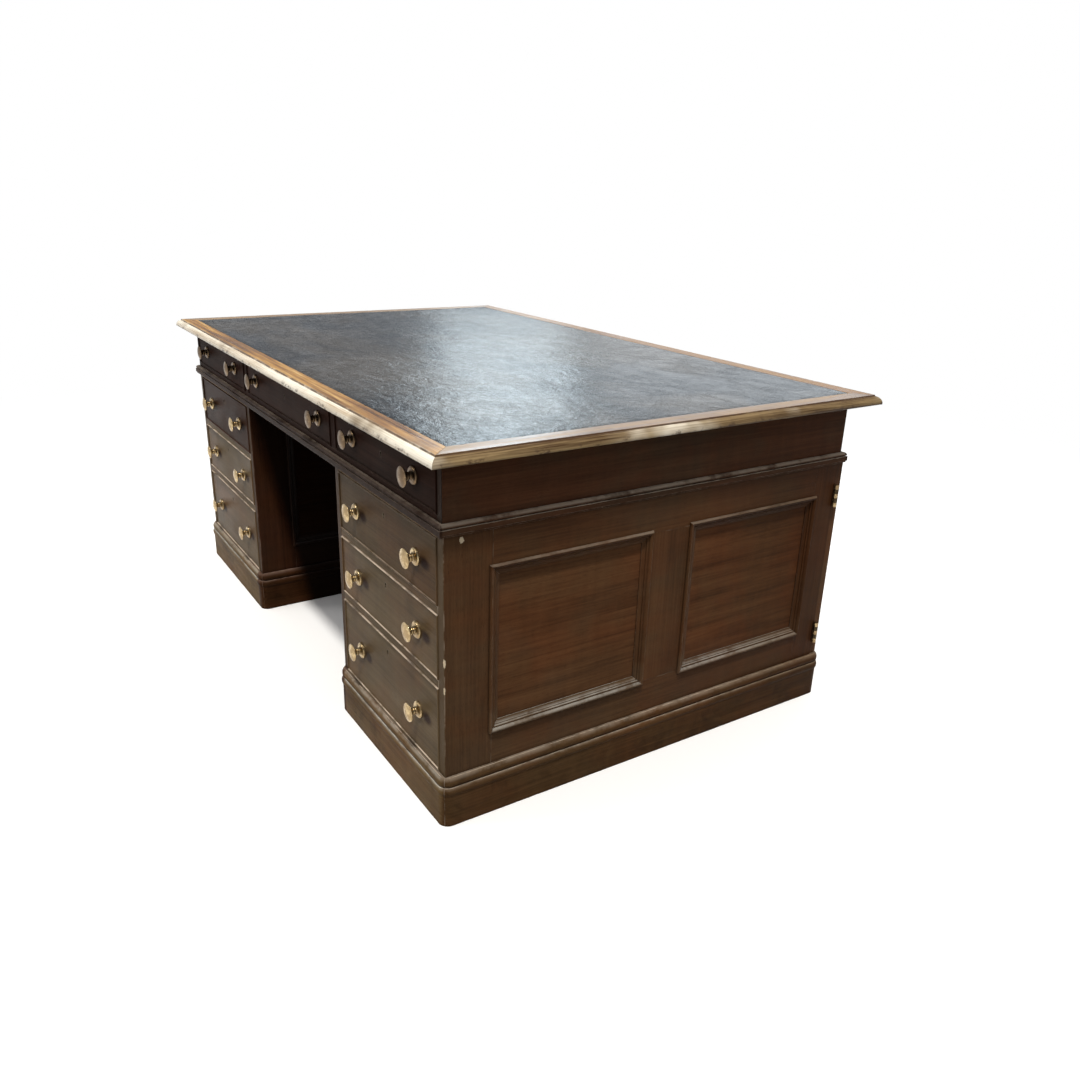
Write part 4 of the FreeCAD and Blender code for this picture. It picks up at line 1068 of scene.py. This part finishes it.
# %% [markdown]
# The pedestals' knobs are the brightest. Those on the frieze are painted darker and duller, as shade
# because they sit in the shadow of the top, and as tarnish because they are pulled less often.

# %% Give the brass its finish
handled_brass = brass("handled_brass", (0.60, 0.46, 0.25), (0.38, 0.27, 0.14), 0.42)
# A darker, duller copy of the brass: painted shade under the top, and tarnish.
shaded_dull_brass = brass("shaded_dull_brass", (0.25, 0.17, 0.095), (0.14, 0.092, 0.052), 0.46)
door_brass = brass("door_brass", (0.60, 0.46, 0.25), (0.38, 0.27, 0.14), 0.42, face=0.5295)
hinge_brass = brass("hinge_brass", (0.50, 0.38, 0.21), (0.27, 0.185, 0.095), 0.42, face=0.0)
brass_pieces = 0
for node, piece in frame["nodes"].items():
    if node.endswith("_brass") or node == "hinge_leaves":
        metal = handled_brass
        if node == "hinge_leaves":
            metal = hinge_brass
        elif node.endswith("door_brass"):
            metal = door_brass
        elif node.startswith(("frieze", "back")):
            metal = shaded_dull_brass
        for holder in piece.material_slots:
            holder.material = metal
        brass_pieces += 1
print("brass pieces:", brass_pieces)

# %% [markdown]
# ## The carcase
# The frieze, the panelled sides, the mouldings and the plinths are fixed to each other. Their
# arrises are eased by little where two pieces meet flush, so the joints show as fine lines, and
# the exposed mouldings and plinths are worn in along their length. Each line gives the piece, its
# finish, its slot, how far its arrises are eased, the spacing and depth of its wear, and how narrow
# the faces of its rounded corners are.

# %% Dress the carcase
carcase_pieces = [
    ("frieze_ends", "frieze", "frieze_mahogany", 0.0006, None, 0),
    ("frieze_framing", "frieze_rail", "frieze_mahogany", 0.0005, None, 0),
    ("waist_moulding", "moulding", "moulding_mahogany", 0.0006, (0.009, 0.0007), 0),
    ("side_frames", "side", "side_mahogany", 0.0005, (0.012, 0.0002), 0.003),
    ("side_panels", "panel", "panel_mahogany", 0.0005, None, 0),
    ("side_mouldings", "side_moulding", "side_mahogany", 0.0005, (0.013, 0.0005), 0),
    ("drawer_blades", "blade", "front_mahogany", 0.0009, (0.009, 0.0008), 0),
    ("plinths", "plinth", "plinth_mahogany", 0.0010, (0.010, 0.0014), 0),
]
for node, finish, slot, ease, wear, round_corner in carcase_pieces:
    piece = dress(node, finishes[finish], ease=ease, wear=wear, round_corner=round_corner)
    print(f"{node}: {len(piece.data.polygons)} faces")

# %% [markdown]
# The boards that only show with a drawer out or a door open are plain pine, with arrises just
# broken by a plane.

# %% Dress the boards inside
for node in ("top_board", "pedestal_boards", "shelves", "dustboards", "drawer_stops"):
    piece = dress(node, carcase, ease=0.0006)
    print(f"{node}: {len(piece.data.polygons)} faces")

# %% [markdown]
# ## Drawers
# A drawer front is mahogany with a thin bead glued round it. The bead takes the knocks, so it is
# rounder and more worn than the front. The sides, back and bottom are plain oak.

# %% Dress the drawers
drawers = [node[:-len("_front")] for node in frame["nodes"] if node.endswith("_drawer_front")]
for drawer in drawers:
    on_frieze = drawer.startswith(("frieze", "back"))
    finish = "frieze_front" if on_frieze else "front_top" if "_top_" in drawer else "front"
    front = dress(drawer + "_front", finishes[finish], ease=0.0008, steps=3, wear=(0.012, 0.0006))
    box = dress(drawer + "_box", lining, ease=0.0005)
print("drawers:", len(drawers))

# %% [markdown]
# ## Cupboard doors
# The two doors are framed and panelled like the sides, and a moulding covers the joint between
# frame and panel.

# %% Dress the doors
door_parts = [("frame", "door", "door_mahogany"), ("panel", "door_panel", "panel_mahogany"),
              ("moulding", "door_moulding", "door_mahogany")]
for side in ("left", "right"):
    for part, finish, slot in door_parts:
        piece = dress(f"{side}_door_{part}", finishes[finish], ease=0.0006)
    print(f"{side} door: {len(door_parts)} pieces of wood")

# %% [markdown]
# ## The size of the dressed desk
# The dressed desk must be no bigger than the packed one, so the growth of its box over the packed
# one's is printed in millimetres.

# %% Write the sizes and finish
shown_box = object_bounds()
growth = [round(1000 * ((shown_box[1][a] - shown_box[0][a]) - (solid_box[1][a] - solid_box[0][a])), 2)
          for a in range(3)]
print("growth of the shown desk in millimetres:", growth)
